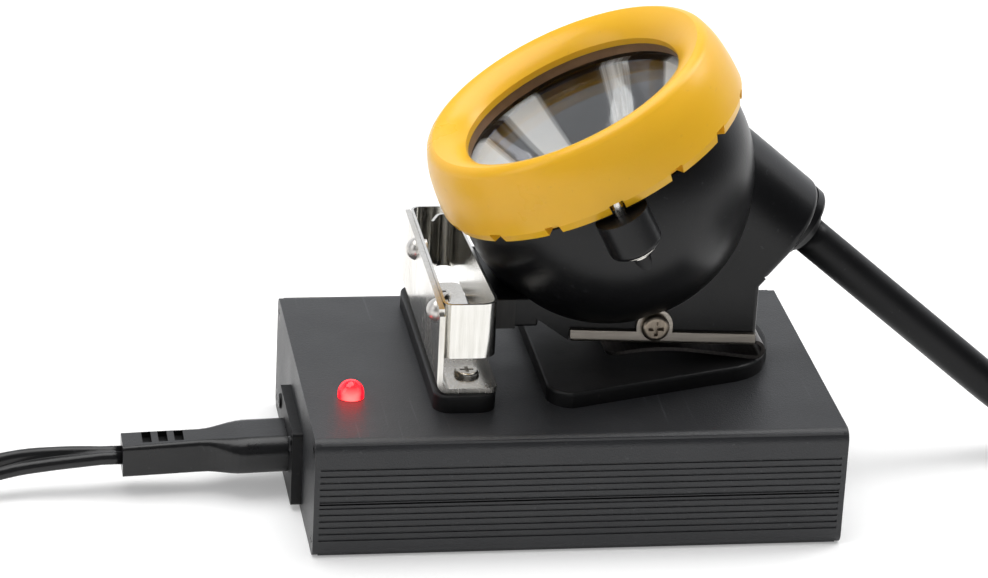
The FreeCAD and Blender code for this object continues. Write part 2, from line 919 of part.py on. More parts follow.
def bracket_rivets():
    rivets = []
    inner_x = bracket_x + sheet_t + touch_gap + band_t
    for y in (rivet_front_y, rivet_back_y):
        shank = cylinder(rivet_r, (bracket_x, y, rivet_z), (1, 0, 0), inner_x - bracket_x)
        tail = cylinder(rivet_r + 0.9, (inner_x, y, rivet_z), (1, 0, 0), 0.8)
        dome_r = (rivet_head_r ** 2 + rivet_head_t ** 2) / (2 * rivet_head_t)
        dome = Part.makeSphere(dome_r, V(bracket_x - rivet_head_t + dome_r, y, rivet_z))
        dome = dome.common(cylinder(rivet_head_r, (bracket_x - 3, y, rivet_z), (1, 0, 0), 3))
        rivets.append(dome.fuse([shank, tail]).removeSplitter())
    return Part.makeCompound(rivets)


# Rest plate


def rest_screw_places():
    return [(6.0, mid_y - 16.0), (6.0, mid_y + 16.0), (36.0, mid_y)]


def rest_plate():
    # A rounded triangle, wide at the left and narrow at the cable's side.
    def corner(x, y):
        return V(x, mid_y + y, case_height)

    x0, x1, half = rest_plate_x0, rest_plate_x1, rest_plate_half
    outline = [
        Part.makeLine(corner(x0, -half + 6.2), corner(x0, half - 6.2)),
        Part.Arc(corner(x0, half - 6.2), corner(x0 + 1.5, half - 1.9), corner(x0 + 5.0, half)).toShape(),
        Part.makeLine(corner(x0 + 5.0, half), corner(x1 - 10.3, 18.6)),
        Part.Arc(corner(x1 - 10.3, 18.6), corner(x1 - 4.9, 15.0), corner(x1 - 2.2, 9.8)).toShape(),
        Part.Arc(corner(x1 - 2.2, 9.8), corner(x1, 0), corner(x1 - 2.2, -9.8)).toShape(),
        Part.Arc(corner(x1 - 2.2, -9.8), corner(x1 - 4.9, -15.0), corner(x1 - 10.3, -18.6)).toShape(),
        Part.makeLine(corner(x1 - 10.3, -18.6), corner(x0 + 5.0, -half)),
        Part.Arc(corner(x0 + 5.0, -half), corner(x0 + 1.5, -half + 1.9), corner(x0, -half + 6.2)).toShape(),
    ]
    plate = Part.Face(Part.Wire(outline)).extrude(V(0, 0, rest_plate_t))
    top = [e for e in plate.Edges if abs(e.BoundBox.ZMin - rest_top) < 0.01]
    plate = plate.makeFillet(0.7, top)
    holes = [
        cylinder(rest_screw_r, (x, y, case_height - 1), (0, 0, 1), rest_plate_t) for x, y in rest_screw_places()
    ]
    return plate.cut(holes)


def rest_plate_screws():
    under = case_height - case_wall
    length = case_wall + rest_plate_t - 1.0
    return Part.makeCompound(
        [
            pan_screw((x, y, under), (0, 0, -1), rest_screw_r, length, rest_screw_head_r, 1.8)
            for x, y in rest_screw_places()
        ]
    )


# Front of the headpiece, built along the axis of the light


def bezel():
    inner_edge = Part.makeLine(V(lens_r + touch_gap, 0, -collar_top_h + touch_gap), V(lens_r + touch_gap, 0, -bezel_lip_t))
    under_lip = Part.makeLine(V(lens_r + touch_gap, 0, -bezel_lip_t), V(lip_r, 0, -bezel_lip_t))
    lip = Part.makeLine(V(lip_r, 0, -bezel_lip_t), V(lip_r, 0, 0))
    inner_r = crown_r - (crown_r - lip_r) * lip_face_share
    face_in = Part.Arc(V(lip_r, 0, 0), V(inner_r, 0, crown_h * lip_face_share), V(crown_r, 0, crown_h)).toShape()
    quarter = []
    for k in range(7):
        a = math.pi / 2 * k / 6
        r = crown_r + (bezel_r - crown_r) * math.sin(a)
        quarter.append(V(r, 0, -bezel_widest_h + (crown_h + bezel_widest_h) * math.cos(a)))
    walls = [Part.Arc(*quarter[k : k + 3]).toShape() for k in (0, 2, 4)]
    taper = Part.makeLine(V(bezel_r, 0, -bezel_widest_h), V(bezel_rear_r, 0, -bezel_rear_h))
    rear = Part.makeLine(V(bezel_rear_r, 0, -bezel_rear_h), V(bezel_bore_r, 0, -bezel_rear_h))
    bore = Part.makeLine(V(bezel_bore_r, 0, -bezel_rear_h), V(bezel_bore_r, 0, -collar_top_h + touch_gap))
    step = Part.makeLine(V(bezel_bore_r, 0, -collar_top_h + touch_gap), V(lens_r + touch_gap, 0, -collar_top_h + touch_gap))
    face = Part.Face(Part.Wire([inner_edge, under_lip, lip, face_in] + walls + [taper, rear, bore, step]))
    shape = face.revolve(V(0, 0, 0), V(0, 0, 1), 360)
    notches = []
    for k in range(notch_count):
        tooth = box(notch_floor_r, bezel_r + 2, -notch_w / 2, notch_w / 2, -bezel_rear_h - 1, -bezel_rear_h + notch_depth)
        tooth.rotate(V(0, 0, 0), V(0, 0, 1), -notch_angle + k * 360 / notch_count)
        notches.append(tooth)
    return on_light_axis(shape.cut(notches))


def lens():
    disc = Part.makeCylinder(lens_r, lens_t, V(0, 0, -lens_h - lens_t))
    return on_light_axis(disc)


def lens_gasket():
    return on_light_axis(ring(lens_r, lens_r - gasket_w, -gasket_h - gasket_t, -gasket_h))


def reflector():
    floor_h = reflector_bottom_h - running_fit

    def wall_curve(offset):
        points = []
        for k in range(7):
            share = k / 6
            r = reflector_bottom_r + (reflector_top_r - reflector_bottom_r) * math.sqrt(share)
            points.append(V(r + offset, 0, -floor_h + (floor_h - reflector_top_h) * share ** 1.15))
        curve = Part.BSplineCurve()
        curve.interpolate(points)
        return curve.toShape()

    inner, outer = wall_curve(0), wall_curve(reflector_wall)
    ends = []
    for h, offset in ((-floor_h, reflector_bottom_r), (-reflector_top_h, reflector_top_r)):
        ends.append(Part.makeLine(V(offset, 0, h), V(offset + reflector_wall, 0, h)))
    face = Part.Face(Part.Wire(Part.__sortEdges__([inner, ends[1], outer, ends[0]])))
    bowl = face.revolve(V(0, 0, 0), V(0, 0, 1), 360)
    rim = ring(cavity_r - touch_gap, reflector_top_r + 0.5, -reflector_top_h - 0.8, -reflector_top_h)
    return on_light_axis(bowl.fuse(rim).removeSplitter())


def main_led():
    base_h = -reflector_bottom_h
    base = box(-2.2, 2.2, -2.2, 2.2, base_h, base_h + 0.8)
    dome = Part.makeSphere(emitter_r, V(0, 0, base_h + 0.8))
    dome = dome.common(box(-5, 5, -5, 5, base_h + 0.5, base_h + 5))
    return on_light_axis(base.fuse(dome).removeSplitter())


def led_board():
    disc = Part.makeCylinder(led_board_r, led_board_t, V(0, 0, -led_board_bottom_h))
    notches = []
    for k in range(6):
        a = math.radians(60 * k + 30)
        notches.append(
            Part.makeCylinder(1.6, led_board_t + 2, V(led_board_r * math.cos(a), led_board_r * math.sin(a), -led_board_bottom_h - 1))
        )
    return on_light_axis(disc.cut(notches))


def heat_sink():
    disc = Part.makeCylinder(cavity_r - touch_gap, heat_sink_t, V(0, 0, -heat_sink_bottom_h))
    fins = []
    for k in range(-3, 4):
        half = 13.5 - abs(k) * 1.6
        fins.append(box(-half, half, k * 4.0 - 0.8, k * 4.0 + 0.8, -heat_sink_bottom_h - heat_sink_fin_h, -heat_sink_bottom_h))
    wire_hole = Part.makeCylinder(2.0, 10, V(20, 0, -heat_sink_bottom_h - 5))
    return on_light_axis(disc.fuse(fins).removeSplitter().cut(wire_hole))


def driver_board():
    floor = -lower_cavity_floor_h
    board = Part.makeCylinder(lower_cavity_r - 1.0, 1.6, V(0, 0, floor))
    choke = Part.makeCylinder(3.5, 4.0, V(4, 3, floor + 1.6))
    chip = box(-8, -3, -3, 3, floor + 1.6, floor + 3.0)
    return on_light_axis(board.fuse([choke, chip]).removeSplitter())


# Headpiece body


def hook_plate_top(x):
    return hook_top_z - hook_slope * (x - hook_x0)


def bowl_centre():
    return light_axis_point(bowl_h)


def knob_centre():
    return light_axis_point(knob_h)


def lug():
    # Half round on top and flat below, with its end face where the gland sits.
    r = cradle_half
    block = box(r - lug_top, lug_bottom, -r, r, -lug_length, 0)
    block = block.fuse(cylinder(r, (r - lug_top, 0, -lug_length), (0, 0, 1), lug_length)).removeSplitter()
    rim = [e for e in block.Edges if e.BoundBox.ZMin > -0.01]
    return on_cable_axis(block.makeFillet(1.8, rim))


def cradle():
    # The leg, heel and nose under the bowl, flat on both sides.
    x, y, z = bowl_centre()
    a = math.radians(cable_fall)
    end_x = gland_face().x - math.sin(a) * lug_bottom
    end_z = gland_face().z - math.cos(a) * lug_bottom
    corner_z = gland_face().z - (gland_face().x - leg_x) / math.tan(a)
    outline = [
        (heel_x, heel_z),
        (hook_x0, hook_plate_top(hook_x0)),
        (leg_x, hook_plate_top(leg_x)),
        (leg_x, corner_z),
        (end_x, end_z),
        (x + 14.0, z + 6.0),
        (x - 16.0, z - 12.0),
        (x - 17.4, z - 27.2),
    ]
    leg = extruded_xz(outline, body_y0, body_y1)
    rims = [
        e
        for e in leg.Edges
        if e.BoundBox.YLength < 0.01 and e.BoundBox.XMax > leg_x - 0.01 and e.BoundBox.ZMin < corner_z + 0.1
    ]
    leg = leg.makeFillet(cradle_edge_r, rims)
    nose = box(nose_x0, nose_x1, body_y0, body_y1, nose_z0, nose_z1)
    nose = nose.makeFillet(cradle_edge_r / 2, nose.Edges)
    return leg.fuse(nose).removeSplitter()


def lock_boss():
    boss = lock_axis(boss_bottom_h, boss_top_h, boss_r)
    return boss.makeFillet(boss_round_r, [e for e in boss.Edges if e.BoundBox.ZMax < -boss_bottom_h + 0.1])


def lock_axis(h0, h1, r):
    d = math.radians(-notch_angle)
    x, y = boss_axis_r * math.cos(d), boss_axis_r * math.sin(d)
    return Part.makeCylinder(r, h0 - h1, V(x, y, -h0))


def headpiece_body():
    centre = V(*bowl_centre())
    kx, ky, kz = knob_centre()
    bowl = Part.makeSphere(bowl_r, centre)
    switch_boss = cylinder(switch_boss_r, (kx, mid_y + 20, kz), (0, 1, 0), switch_boss_y - mid_y - 20)
    outer = bowl.fuse([cradle(), lug(), switch_boss, on_light_axis(lock_boss())])
    above = Part.makeBox(240, 240, 120, V(-120, -120, -shoulder_h))
    outer = outer.cut(on_light_axis(above))
    collar_outer = bezel_bore_r - 0.2
    collar = Part.makeCylinder(collar_outer, shoulder_h - collar_top_h + 2, V(0, 0, -shoulder_h - 2))
    outer = outer.fuse(on_light_axis(collar)).removeSplitter()
    upper = Part.makeCylinder(cavity_r, heat_sink_bottom_h, V(0, 0, -heat_sink_bottom_h))
    lower = Part.makeCylinder(lower_cavity_r, lower_cavity_floor_h - heat_sink_bottom_h + 1, V(0, 0, -lower_cavity_floor_h))
    nut_seat = lock_axis(boss_bottom_h + lock_nut_t + slide_gap, boss_bottom_h, lock_nut_r + slide_gap)
    head_way = lock_axis(boss_bottom_h + 20, boss_bottom_h, lock_head_r + slide_gap)
    cuts = [on_light_axis(c) for c in (upper, lower, nut_seat, head_way)]
    cuts.append(cylinder(shaft_r + running_fit, (kx, mid_y + 10, kz), (0, 1, 0), 40))
    cuts.append(cylinder(seal_r, (kx, switch_boss_y - 1.8, kz), (0, 1, 0), 3))
    cuts.append(on_cable_axis(Part.makeCylinder(gland_bore_r, 60, V(0, 0, -38))))
    cuts.append(on_light_axis(lock_axis(boss_bottom_h + 5, boss_top_h - 5, lock_pin_r + running_fit)))
    for y, d in ((body_y0, 1), (body_y1, -1)):
        cuts.append(cylinder(hook_screw_r, (hook_tab_x, y - d, hook_tab_z), (0, d, 0), hook_screw_length + 0.4))
        cuts.append(cylinder(hook_tab_r + slide_gap, (hook_tab_x, y, hook_tab_z), (0, -d, 0), 6))
    seat = [
        (hook_x0, hook_plate_top(hook_x0)),
        (leg_x + 1, hook_plate_top(leg_x + 1)),
        (leg_x + 1, 20.0),
        (hook_x0, 20.0),
    ]
    cuts.append(extruded_xz(seat, body_y0 - 1, body_y1 + 1))
    body = outer.cut(cuts)
    return max(body.Solids, key=lambda s: s.Volume)


def charging_contact():
    y0, y1 = body_y0 - contact_t, body_y1 + contact_t
    wrap = box(nose_x0 - contact_t, contact_tab_x1, y0, y1, nose_z0, nose_z1)
    inside = box(nose_x0, contact_tab_x1 + 1, body_y0, body_y1, nose_z0 - 1, nose_z1 + 1)
    return wrap.cut(inside)


def bezel_lock_screw():
    tip_h = bezel_rear_h - notch_depth + lock_pin_play
    seat_h = boss_bottom_h + lock_nut_t
    shank = lock_axis(seat_h, tip_h, lock_pin_r)
    head = lock_axis(seat_h + lock_head_t, seat_h, lock_head_r)
    slot = lock_axis(seat_h + lock_head_t + 1, seat_h + lock_head_t / 2, lock_head_r + 1)
    d = math.radians(-notch_angle)
    bar = box(-6, 6, -0.5, 0.5, -60, 60)
    bar.translate(V(boss_axis_r * math.cos(d), boss_axis_r * math.sin(d), 0))
    return on_light_axis(shank.fuse(head).removeSplitter().cut(slot.common(bar)))


def lock_screw_nut():
    nut = lock_axis(boss_bottom_h + lock_nut_t, boss_bottom_h, lock_nut_r)
    nut = nut.makeFillet(lock_nut_t / 2, [e for e in nut.Edges if e.BoundBox.ZMax < -boss_bottom_h - lock_nut_t / 2])
    return on_light_axis(nut.cut(lock_axis(boss_bottom_h + 5, boss_bottom_h - 5, lock_pin_r + running_fit)))


# Switch


def switch_shaft():
    x, y, z = knob_centre()
    shaft = cylinder(shaft_r, (x, switch_unit_y1 - 2.0, z), (0, 1, 0), switch_boss_y + knob_t - 2.0 - switch_unit_y1 + 2.0)
    return shaft


def switch_unit():
    x, y, z = knob_centre()
    half_w, half_h = switch_unit_w / 2, switch_unit_h / 2
    unit_box = Part.makeBox(switch_unit_w, switch_unit_y1 - switch_unit_y0, switch_unit_h, V(-half_w, 0, -half_h))
    unit_box = unit_box.makeFillet(0.6, unit_box.Edges)
    unit_box.Placement = FreeCAD.Placement(V(x, switch_unit_y0, z), FreeCAD.Rotation(V(0, 1, 0), -light_tilt))
    hole = cylinder(shaft_r + running_fit, (x, switch_unit_y1 - 2.0 - slide_gap, z), (0, 1, 0), 10)
    return unit_box.cut(hole)


def shaft_seal():
    x, y, z = knob_centre()
    outer = cylinder(seal_r - running_fit, (x, switch_boss_y - 1.8, z), (0, 1, 0), 1.7)
    return outer.cut(cylinder(shaft_r + running_fit, (x, switch_boss_y - 3, z), (0, 1, 0), 6))


def switch_knob():
    x, y, z = knob_centre()
    y0 = switch_boss_y + slide_gap
    base = cylinder(knob_r, (x, y0, z), (0, 1, 0), knob_t * 0.45)
    base = base.makeFillet(0.7, [e for e in base.Edges if e.Curve.TypeId == "Part::GeomCircle"])
    grip = box(x - knob_grip_w / 2, x + knob_grip_w / 2, y0 + 1, y0 + knob_t, z - knob_r + 0.6, z + knob_r - 0.6)
    grip = grip.makeFillet(1.2, edges_along(grip, (0, 1, 0)))
    flutes = []
    for k in range(16):
        a = 2 * math.pi * (k + 0.5) / 16
        flutes.append(cylinder(0.7, (x + (knob_r + 0.3) * math.cos(a), y0 - 1, z + (knob_r + 0.3) * math.sin(a)), (0, 1, 0), knob_t))
    bore = cylinder(shaft_r, (x, y0 - 1, z), (0, 1, 0), switch_boss_y + knob_t - 2.0 - y0 + 1)
    return base.cut(flutes).fuse(grip).removeSplitter().cut(bore)


# Hook


def hook_plate():
    y0, y1 = body_y0 - hook_t, body_y1 + hook_t
    outline = [
        (hook_x0, hook_plate_top(hook_x0) - hook_t),
        (hook_x1, hook_plate_top(hook_x1) - hook_t),
        (hook_x1, hook_plate_top(hook_x1)),
        (hook_x0, hook_plate_top(hook_x0)),
    ]
    plate = extruded_xz(outline, y0, y1)
    rail = [
        (hook_x0, hook_plate_top(hook_x0) - hook_t / 2),
        (hook_x1, hook_plate_top(hook_x1) - hook_t / 2),
        (hook_x1, hook_plate_top(hook_x1) + hook_flange_h),
        (hook_x0, hook_plate_top(hook_x0) + hook_flange_h),
    ]
    shapes = []
    for a, b in ((y0, body_y0), (body_y1, y1)):
        shapes.append(extruded_xz(rail, a, b))
        tab = box(hook_tab_x - hook_tab_r, hook_tab_x + hook_tab_r, a, b, hook_plate_top(hook_tab_x), hook_tab_z)
        shapes.append(tab.fuse(cylinder(hook_tab_r, (hook_tab_x, a, hook_tab_z), (0, 1, 0), b - a)))
    plate = plate.fuse(shapes).removeSplitter()
    low = [
        e
        for e in plate.Edges
        if e.Curve.TypeId == "Part::GeomLine"
        and e.Length > 30
        and (abs(e.BoundBox.YMin - y0) < 0.01 or abs(e.BoundBox.YMax - y1) < 0.01)
        and e.BoundBox.ZMax < hook_plate_top(hook_x0) - hook_t + 0.05
    ]
    plate = plate.makeFillet(hook_t * 0.75, low)
    holes = [
        cylinder(hook_screw_r + running_fit, (hook_tab_x, y0 - 1, hook_tab_z), (0, 1, 0), hook_t + 2),
        cylinder(hook_screw_r + running_fit, (hook_tab_x, body_y1 - 1, hook_tab_z), (0, 1, 0), hook_t + 2),
    ]
    return plate.cut(holes)


def hook_spring():
    bend_out = leaf_bend_x + leaf_bend_r
    top = leaf_bend_z + leaf_bend_r
    rise = math.tan(math.radians(leaf_rise))
    fall = math.tan(math.radians(leaf_crest_turn - leaf_rise))
    low_z = leaf_bend_z - leaf_bend_r * math.tan(math.radians(45 + leaf_rise / 2))
    crest_z = low_z + (bend_out - leaf_crest_x) * rise
    line = [
        (leaf_bend_x, top),
        (bend_out, top),
        (bend_out, low_z),
        (leaf_crest_x, crest_z),
        (leaf_end_x, crest_z - (leaf_crest_x - leaf_end_x) * fall),
    ]
    face = strip(line, [leaf_bend_r, leaf_bend_r, leaf_crest_r], leaf_t, lambda x, z: V(x, mid_y - leaf_half, z))
    leaf = face.extrude(V(0, 2 * leaf_half, 0))
    tips = [e for e in leaf.Edges if e.Length < leaf_t + 0.01 and e.BoundBox.XMax < leaf_end_x + 0.5]
    return leaf.makeFillet(3.0, tips)


def hook_screws():
    screws = []
    for y, d in ((body_y0 - hook_t, -1), (body_y1 + hook_t, 1)):
        face = (hook_tab_x, y, hook_tab_z)
        screws.append(pan_screw(face, (0, d, 0), hook_screw_r, hook_screw_length, hook_screw_head_r, hook_screw_head_t))
    return Part.makeCompound(screws)


# Cable gland and the cable's inner end


def cable_gland():
    outline = [
        (gland_bore_r, 0),
        (gland_r, 0),
        (gland_r, 1.9),
        (gland_r - 0.3, 2.4),
        (gland_r - 1.2, 2.7),
        (gland_r - 3.2, 3.2),
        (gland_end_r, gland_length),
        (gland_bore_r, gland_length),
    ]
    return on_cable_axis(turned(outline))


def cable_inner_end():
    start = -cable_inner_length
    return on_cable_axis(Part.makeCylinder(cable_d / 2, gland_length - running_fit - start, V(0, 0, start)))


# Lamp cable


def lamp_cable():
    start = (cable_exit_x, mid_y, cable_exit_z)
    end = V(*cable_coil_start) - coil_stub(1, cable_d)
    return tube("lamp_cable", [start] + cable_route + [tuple(end)], cable_d)


def lamp_cable_coil():
    return coil(
        "lamp_cable_coil",
        cable_d,
        cable_coil_start,
        1,
        cable_coil_r,
        cable_coil_pitch,
        cable_coil_rise,
        cable_coil_arc_count,
    )


def lamp_cable_tie():
    return tie(cable_coil_start, 1, cable_d, cable_coil_r, cable_coil_pitch, cable_coil_rise, cable_coil_arc_count)


def turned_about(shape, start, angle):
    # The plugs are built heading +Y and turned to the way that their cords arrive.
    placed = shape.copy()
    placed.rotate(V(*start), V(0, 0, 1), angle)
    return placed


def battery_plug():
    x, y, z = battery_plug_start
    body = cylinder(battery_plug_r, (x, y, z), (0, 1, 0), battery_plug_length)
    neck = [e for e in body.Edges if e.BoundBox.YMax < y + 0.1]
    body = body.makeFillet(2.4, neck)
    ribs = []
    for k in range(5):
        y0 = y + 3.5 + k * 2.2
        cut = cylinder(battery_plug_r + 1, (x, y0, z), (0, 1, 0), 0.9)
        ribs.append(cut.cut(cylinder(battery_plug_r - 0.6, (x, y0 - 1, z), (0, 1, 0), 3)))
    holes = [
        cylinder(battery_pin_r, (px, y + battery_plug_length - 6, pz), (0, 1, 0), 8) for px, pz in battery_pin_places()
    ]
    return turned_about(body.cut(ribs + holes), battery_plug_start, battery_plug_turn)


def battery_pin_places():
    x, y, z = battery_plug_start
    places = []
    for k in range(battery_pin_count):
        a = 2 * math.pi * k / battery_pin_count
        places.append((x + battery_pin_circle_r * math.cos(a), z + battery_pin_circle_r * math.sin(a)))
    return places


def battery_plug_pins():
    y0 = battery_plug_start[1] + battery_plug_length - 6
    pins = [
        cylinder(battery_pin_r, (px, y0, pz), (0, 1, 0), 6 + battery_pin_length) for px, pz in battery_pin_places()
    ]
    return turned_about(Part.makeCompound(pins), battery_plug_start, battery_plug_turn)


def battery_plug_nut():
    x, y, z = battery_plug_start
    y0 = y + battery_plug_length - 4.0
    nut = cylinder(battery_nut_r, (x, y0, z), (0, 1, 0), battery_nut_length)
    nut = nut.cut(cylinder(battery_plug_r + running_fit, (x, y0 - 1, z), (0, 1, 0), battery_nut_length + 2))
    flutes = []
    for k in range(18):
        a = 2 * math.pi * k / 18
        fx, fz = x + (battery_nut_r + 0.2) * math.cos(a), z + (battery_nut_r + 0.2) * math.sin(a)
        flutes.append(cylinder(0.6, (fx, y0 + 1.2, fz), (0, 1, 0), battery_nut_length - 2.4))
    return turned_about(nut.cut(flutes), battery_plug_start, battery_plug_turn)


# Mains lead


def rounded_section(x, y, z, width, height, r):
    # A rectangle with rounded corners, across the X axis.
    a, b = width / 2 - r, height / 2 - r
    edges = []
    corners = [(a, b, 0), (-a, b, 90), (-a, -b, 180), (a, -b, 270)]
    spots = []
    for cy, cz, start in corners:
        for turn in (0, 45, 90):
            t = math.radians(start + turn)
            spots.append(V(x, y + cy + r * math.cos(t), z + cz + r * math.sin(t)))
    for k in range(4):
        first, middle, last = spots[3 * k : 3 * k + 3]
        edges.append(Part.Arc(first, middle, last).toShape())
        edges.append(Part.makeLine(last, spots[(3 * k + 3) % 12]))
    return Part.Wire(edges)


def mains_connector():
    # Wide at the inlet, then an S to a straight grip that sinks a little towards its end.
    waist_x = connector_x - connector_waist_at
    shoulder_x = connector_x - connector_shoulder_at
    end_x = connector_x - connector_length
    stations = [(connector_x, 0.0, connector_w, connector_h, 3.6)]
    for k in range(7):
        share = k / 6
        blend = (1 - math.cos(math.pi * share)) / 2
        x = shoulder_x + (waist_x - shoulder_x) * share
        w = connector_w + (connector_waist_w - connector_w) * blend
        h = connector_h + (connector_waist_h - connector_h) * blend
        stations.append((x, connector_waist_drop * (0.3 + 0.7 * share), w, h, 3.6 - 2.4 * blend))
    stations.append((end_x, connector_end_drop, connector_end_w, connector_end_h, 0.9))
    sections = [rounded_section(x, inlet_y, inlet_z - drop, w, h, r) for x, drop, w, h, r in stations]
    grip = Part.makeLoft(sections, True, True)
    nose = slot_bar(
        connector_x, inlet_face_x + socket_depth - 1.0, inlet_y, inlet_z, socket_w - 0.3, socket_h - 0.3
    )
    body = grip.fuse(nose).removeSplitter()
    cuts = []
    for y in inlet_pin_ys():
        reach = socket_pin_length + 2.5
        cuts.append(cylinder(socket_pin_r + running_fit, (inlet_face_x - 3, y, inlet_z), (1, 0, 0), reach + 10))
    for k in range(grip_notch_count):
        x = end_x + grip_notch_first + k * grip_notch_pitch
        for side in (-1, 1):
            z = inlet_z - connector_end_drop + 0.15 * (k + 1) + side * connector_end_h / 2
            y0, y1 = inlet_y - connector_end_w / 4, inlet_y + connector_end_w / 2 - grip_notch_wall
            notch = box(x, x + grip_notch_w, y0, y1, z - grip_notch_depth, z + 2 * grip_notch_depth)
            if side < 0:
                notch.translate(V(0, 0, -grip_notch_depth))
            cuts.append(notch)
    return body.cut(cuts)


def mains_lead():
    start = (connector_x - connector_length, inlet_y, inlet_z - connector_end_drop)
    end = V(*lead_coil_start) - coil_stub(-1, lead_d)
    return tube("mains_lead", [start] + lead_route + [tuple(end)], lead_d)


def mains_lead_coil():
    return coil(
        "mains_lead_coil",
        lead_d,
        lead_coil_start,
        -1,
        lead_coil_r,
        lead_coil_pitch,
        lead_coil_rise,
        lead_coil_arc_count,
    )


def mains_lead_tie():
    return tie(lead_coil_start, -1, lead_d, lead_coil_r, lead_coil_pitch, lead_coil_rise, lead_coil_arc_count)


def mains_plug():
    x, y, z = mains_plug_start
    half, neck = mains_plug_w / 2, mains_plug_neck_w / 2
    outline = [
        (x - neck, y),
        (x + neck, y),
        (x + half, y + mains_plug_length * 0.6),
        (x + half - 1.0, y + mains_plug_length),
        (x - half + 1.0, y + mains_plug_length),
        (x - half, y + mains_plug_length * 0.6),
    ]
    bottom = z - mains_plug_t / 2
    body = flat_face(outline, lambda a, b: V(a, b, bottom)).extrude(V(0, 0, mains_plug_t))
    body = body.makeFillet(2.5, edges_along(body, (0, 0, 1)))
    return turned_about(body, mains_plug_start, mains_plug_turn).cut(mains_plug_blades())


def mains_plug_blades():
    x, y, z = mains_plug_start
    y0 = y + mains_plug_length - mains_blade_root
    y1 = y + mains_plug_length + mains_blade_length
    blades = []
    for side in (-1, 1):
        middle = x + side * mains_blade_spacing / 2
        blade = box(
            middle - mains_blade_t / 2,
            middle + mains_blade_t / 2,
            y0,
            y1,
            z - mains_blade_w / 2,
            z + mains_blade_w / 2,
        )
        tips = [e for e in edges_along(blade, (1, 0, 0)) if e.BoundBox.YMin > y1 - 0.01]
        blades.append(blade.makeFillet(1.5, tips))
    return turned_about(Part.makeCompound(blades), mains_plug_start, mains_plug_turn)


cable_coil, cable_coil_end = lamp_cable_coil()
lead_coil, lead_coil_end = mains_lead_coil()


def lamp_cable_tail():
    return tube("lamp_cable_tail", [tuple(cable_coil_end)] + cable_tail_route + [battery_plug_start], cable_d)


def mains_lead_tail():
    return tube("mains_lead_tail", [tuple(lead_coil_end)] + lead_tail_route + [mains_plug_start], lead_d)


parts = {
    "case_lower": case_lower(),
    "case_upper": case_upper(),
    "end_plate_left": end_plate_left(),
    "end_plate_right": end_plate_right(),
    "end_plate_screws": end_plate_screws(),
    "mains_inlet": mains_inlet(),
    "inlet_pins": inlet_pins(),
    "inlet_screws": inlet_screws(),
    "charger_board": charger_board(),
    "transformer_core": transformer_core(),
    "transformer_winding": transformer_winding(),
    "capacitors": capacitors(),
    "indicator_led": indicator_led(),
    "contact_pad": contact_pad(),
    "contact_bracket": contact_bracket(),
    "bracket_screws": bracket_screws(),
    "spring_band": spring_band(),
    "bracket_rivets": bracket_rivets(),
    "rest_plate": rest_plate(),
    "rest_plate_screws": rest_plate_screws(),
    "bezel": bezel(),
    "lens": lens(),
    "lens_gasket": lens_gasket(),
    "reflector": reflector(),
    "main_led": main_led(),
    "led_board": led_board(),
    "heat_sink": heat_sink(),
    "driver_board": driver_board(),
    "headpiece_body": headpiece_body(),
    "charging_contact": charging_contact(),
    "bezel_lock_screw": bezel_lock_screw(),
    "lock_screw_nut": lock_screw_nut(),
    "switch_knob": switch_knob(),
    "switch_shaft": switch_shaft(),
    "switch_unit": switch_unit(),
    "shaft_seal": shaft_seal(),
    "hook_plate": hook_plate(),
    "hook_spring": hook_spring(),
    "hook_screws": hook_screws(),
    "cable_gland": cable_gland(),
    "cable_inner_end": cable_inner_end(),
    "lamp_cable": lamp_cable(),
    "lamp_cable_coil": cable_coil,
    "lamp_cable_tail": lamp_cable_tail(),
    "lamp_cable_tie": lamp_cable_tie(),
    "battery_plug": battery_plug(),
    "battery_plug_nut": battery_plug_nut(),
    "battery_plug_pins": battery_plug_pins(),
    "mains_connector": mains_connector(),
    "mains_lead": mains_lead(),
    "mains_lead_coil": lead_coil,
    "mains_lead_tail": mains_lead_tail(),
    "mains_lead_tie": mains_lead_tie(),
    "mains_plug": mains_plug(),
    "mains_plug_blades": mains_plug_blades(),
}

for name, shape in parts.items():
    shape.exportStep(f"parts/{name}.step")
    box_size = shape.BoundBox
    print(
        f"{name}: solids {len(shape.Solids)}, valid {shape.isValid()}, volume {shape.Volume:.0f},"
        f" x {box_size.XMin:.1f} to {box_size.XMax:.1f}, y {box_size.YMin:.1f} to {box_size.YMax:.1f},"
        f" z {box_size.ZMin:.1f} to {box_size.ZMax:.1f}"
    )
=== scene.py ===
import math
import bpy
from mathutils import Matrix, Vector


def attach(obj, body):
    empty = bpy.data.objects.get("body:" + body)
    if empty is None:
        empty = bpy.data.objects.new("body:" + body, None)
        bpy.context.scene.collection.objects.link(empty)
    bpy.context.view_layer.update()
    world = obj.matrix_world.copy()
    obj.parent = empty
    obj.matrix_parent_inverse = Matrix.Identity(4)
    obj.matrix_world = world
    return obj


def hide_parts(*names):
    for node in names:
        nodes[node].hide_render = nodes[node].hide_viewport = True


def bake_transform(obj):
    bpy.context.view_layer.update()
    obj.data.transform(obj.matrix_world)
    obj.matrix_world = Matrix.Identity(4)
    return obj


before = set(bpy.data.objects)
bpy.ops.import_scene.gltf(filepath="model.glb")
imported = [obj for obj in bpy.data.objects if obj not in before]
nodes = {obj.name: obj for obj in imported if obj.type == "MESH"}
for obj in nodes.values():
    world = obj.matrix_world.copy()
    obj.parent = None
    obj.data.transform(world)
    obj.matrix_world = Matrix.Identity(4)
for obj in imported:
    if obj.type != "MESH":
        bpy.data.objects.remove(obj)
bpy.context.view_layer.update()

print("stage: frame loaded,", len(nodes), "nodes")


def deselectAll():
    if bpy.context.object and bpy.context.object.mode != "OBJECT":
        bpy.ops.object.mode_set(mode="OBJECT")
    bpy.ops.object.select_all(action="DESELECT")


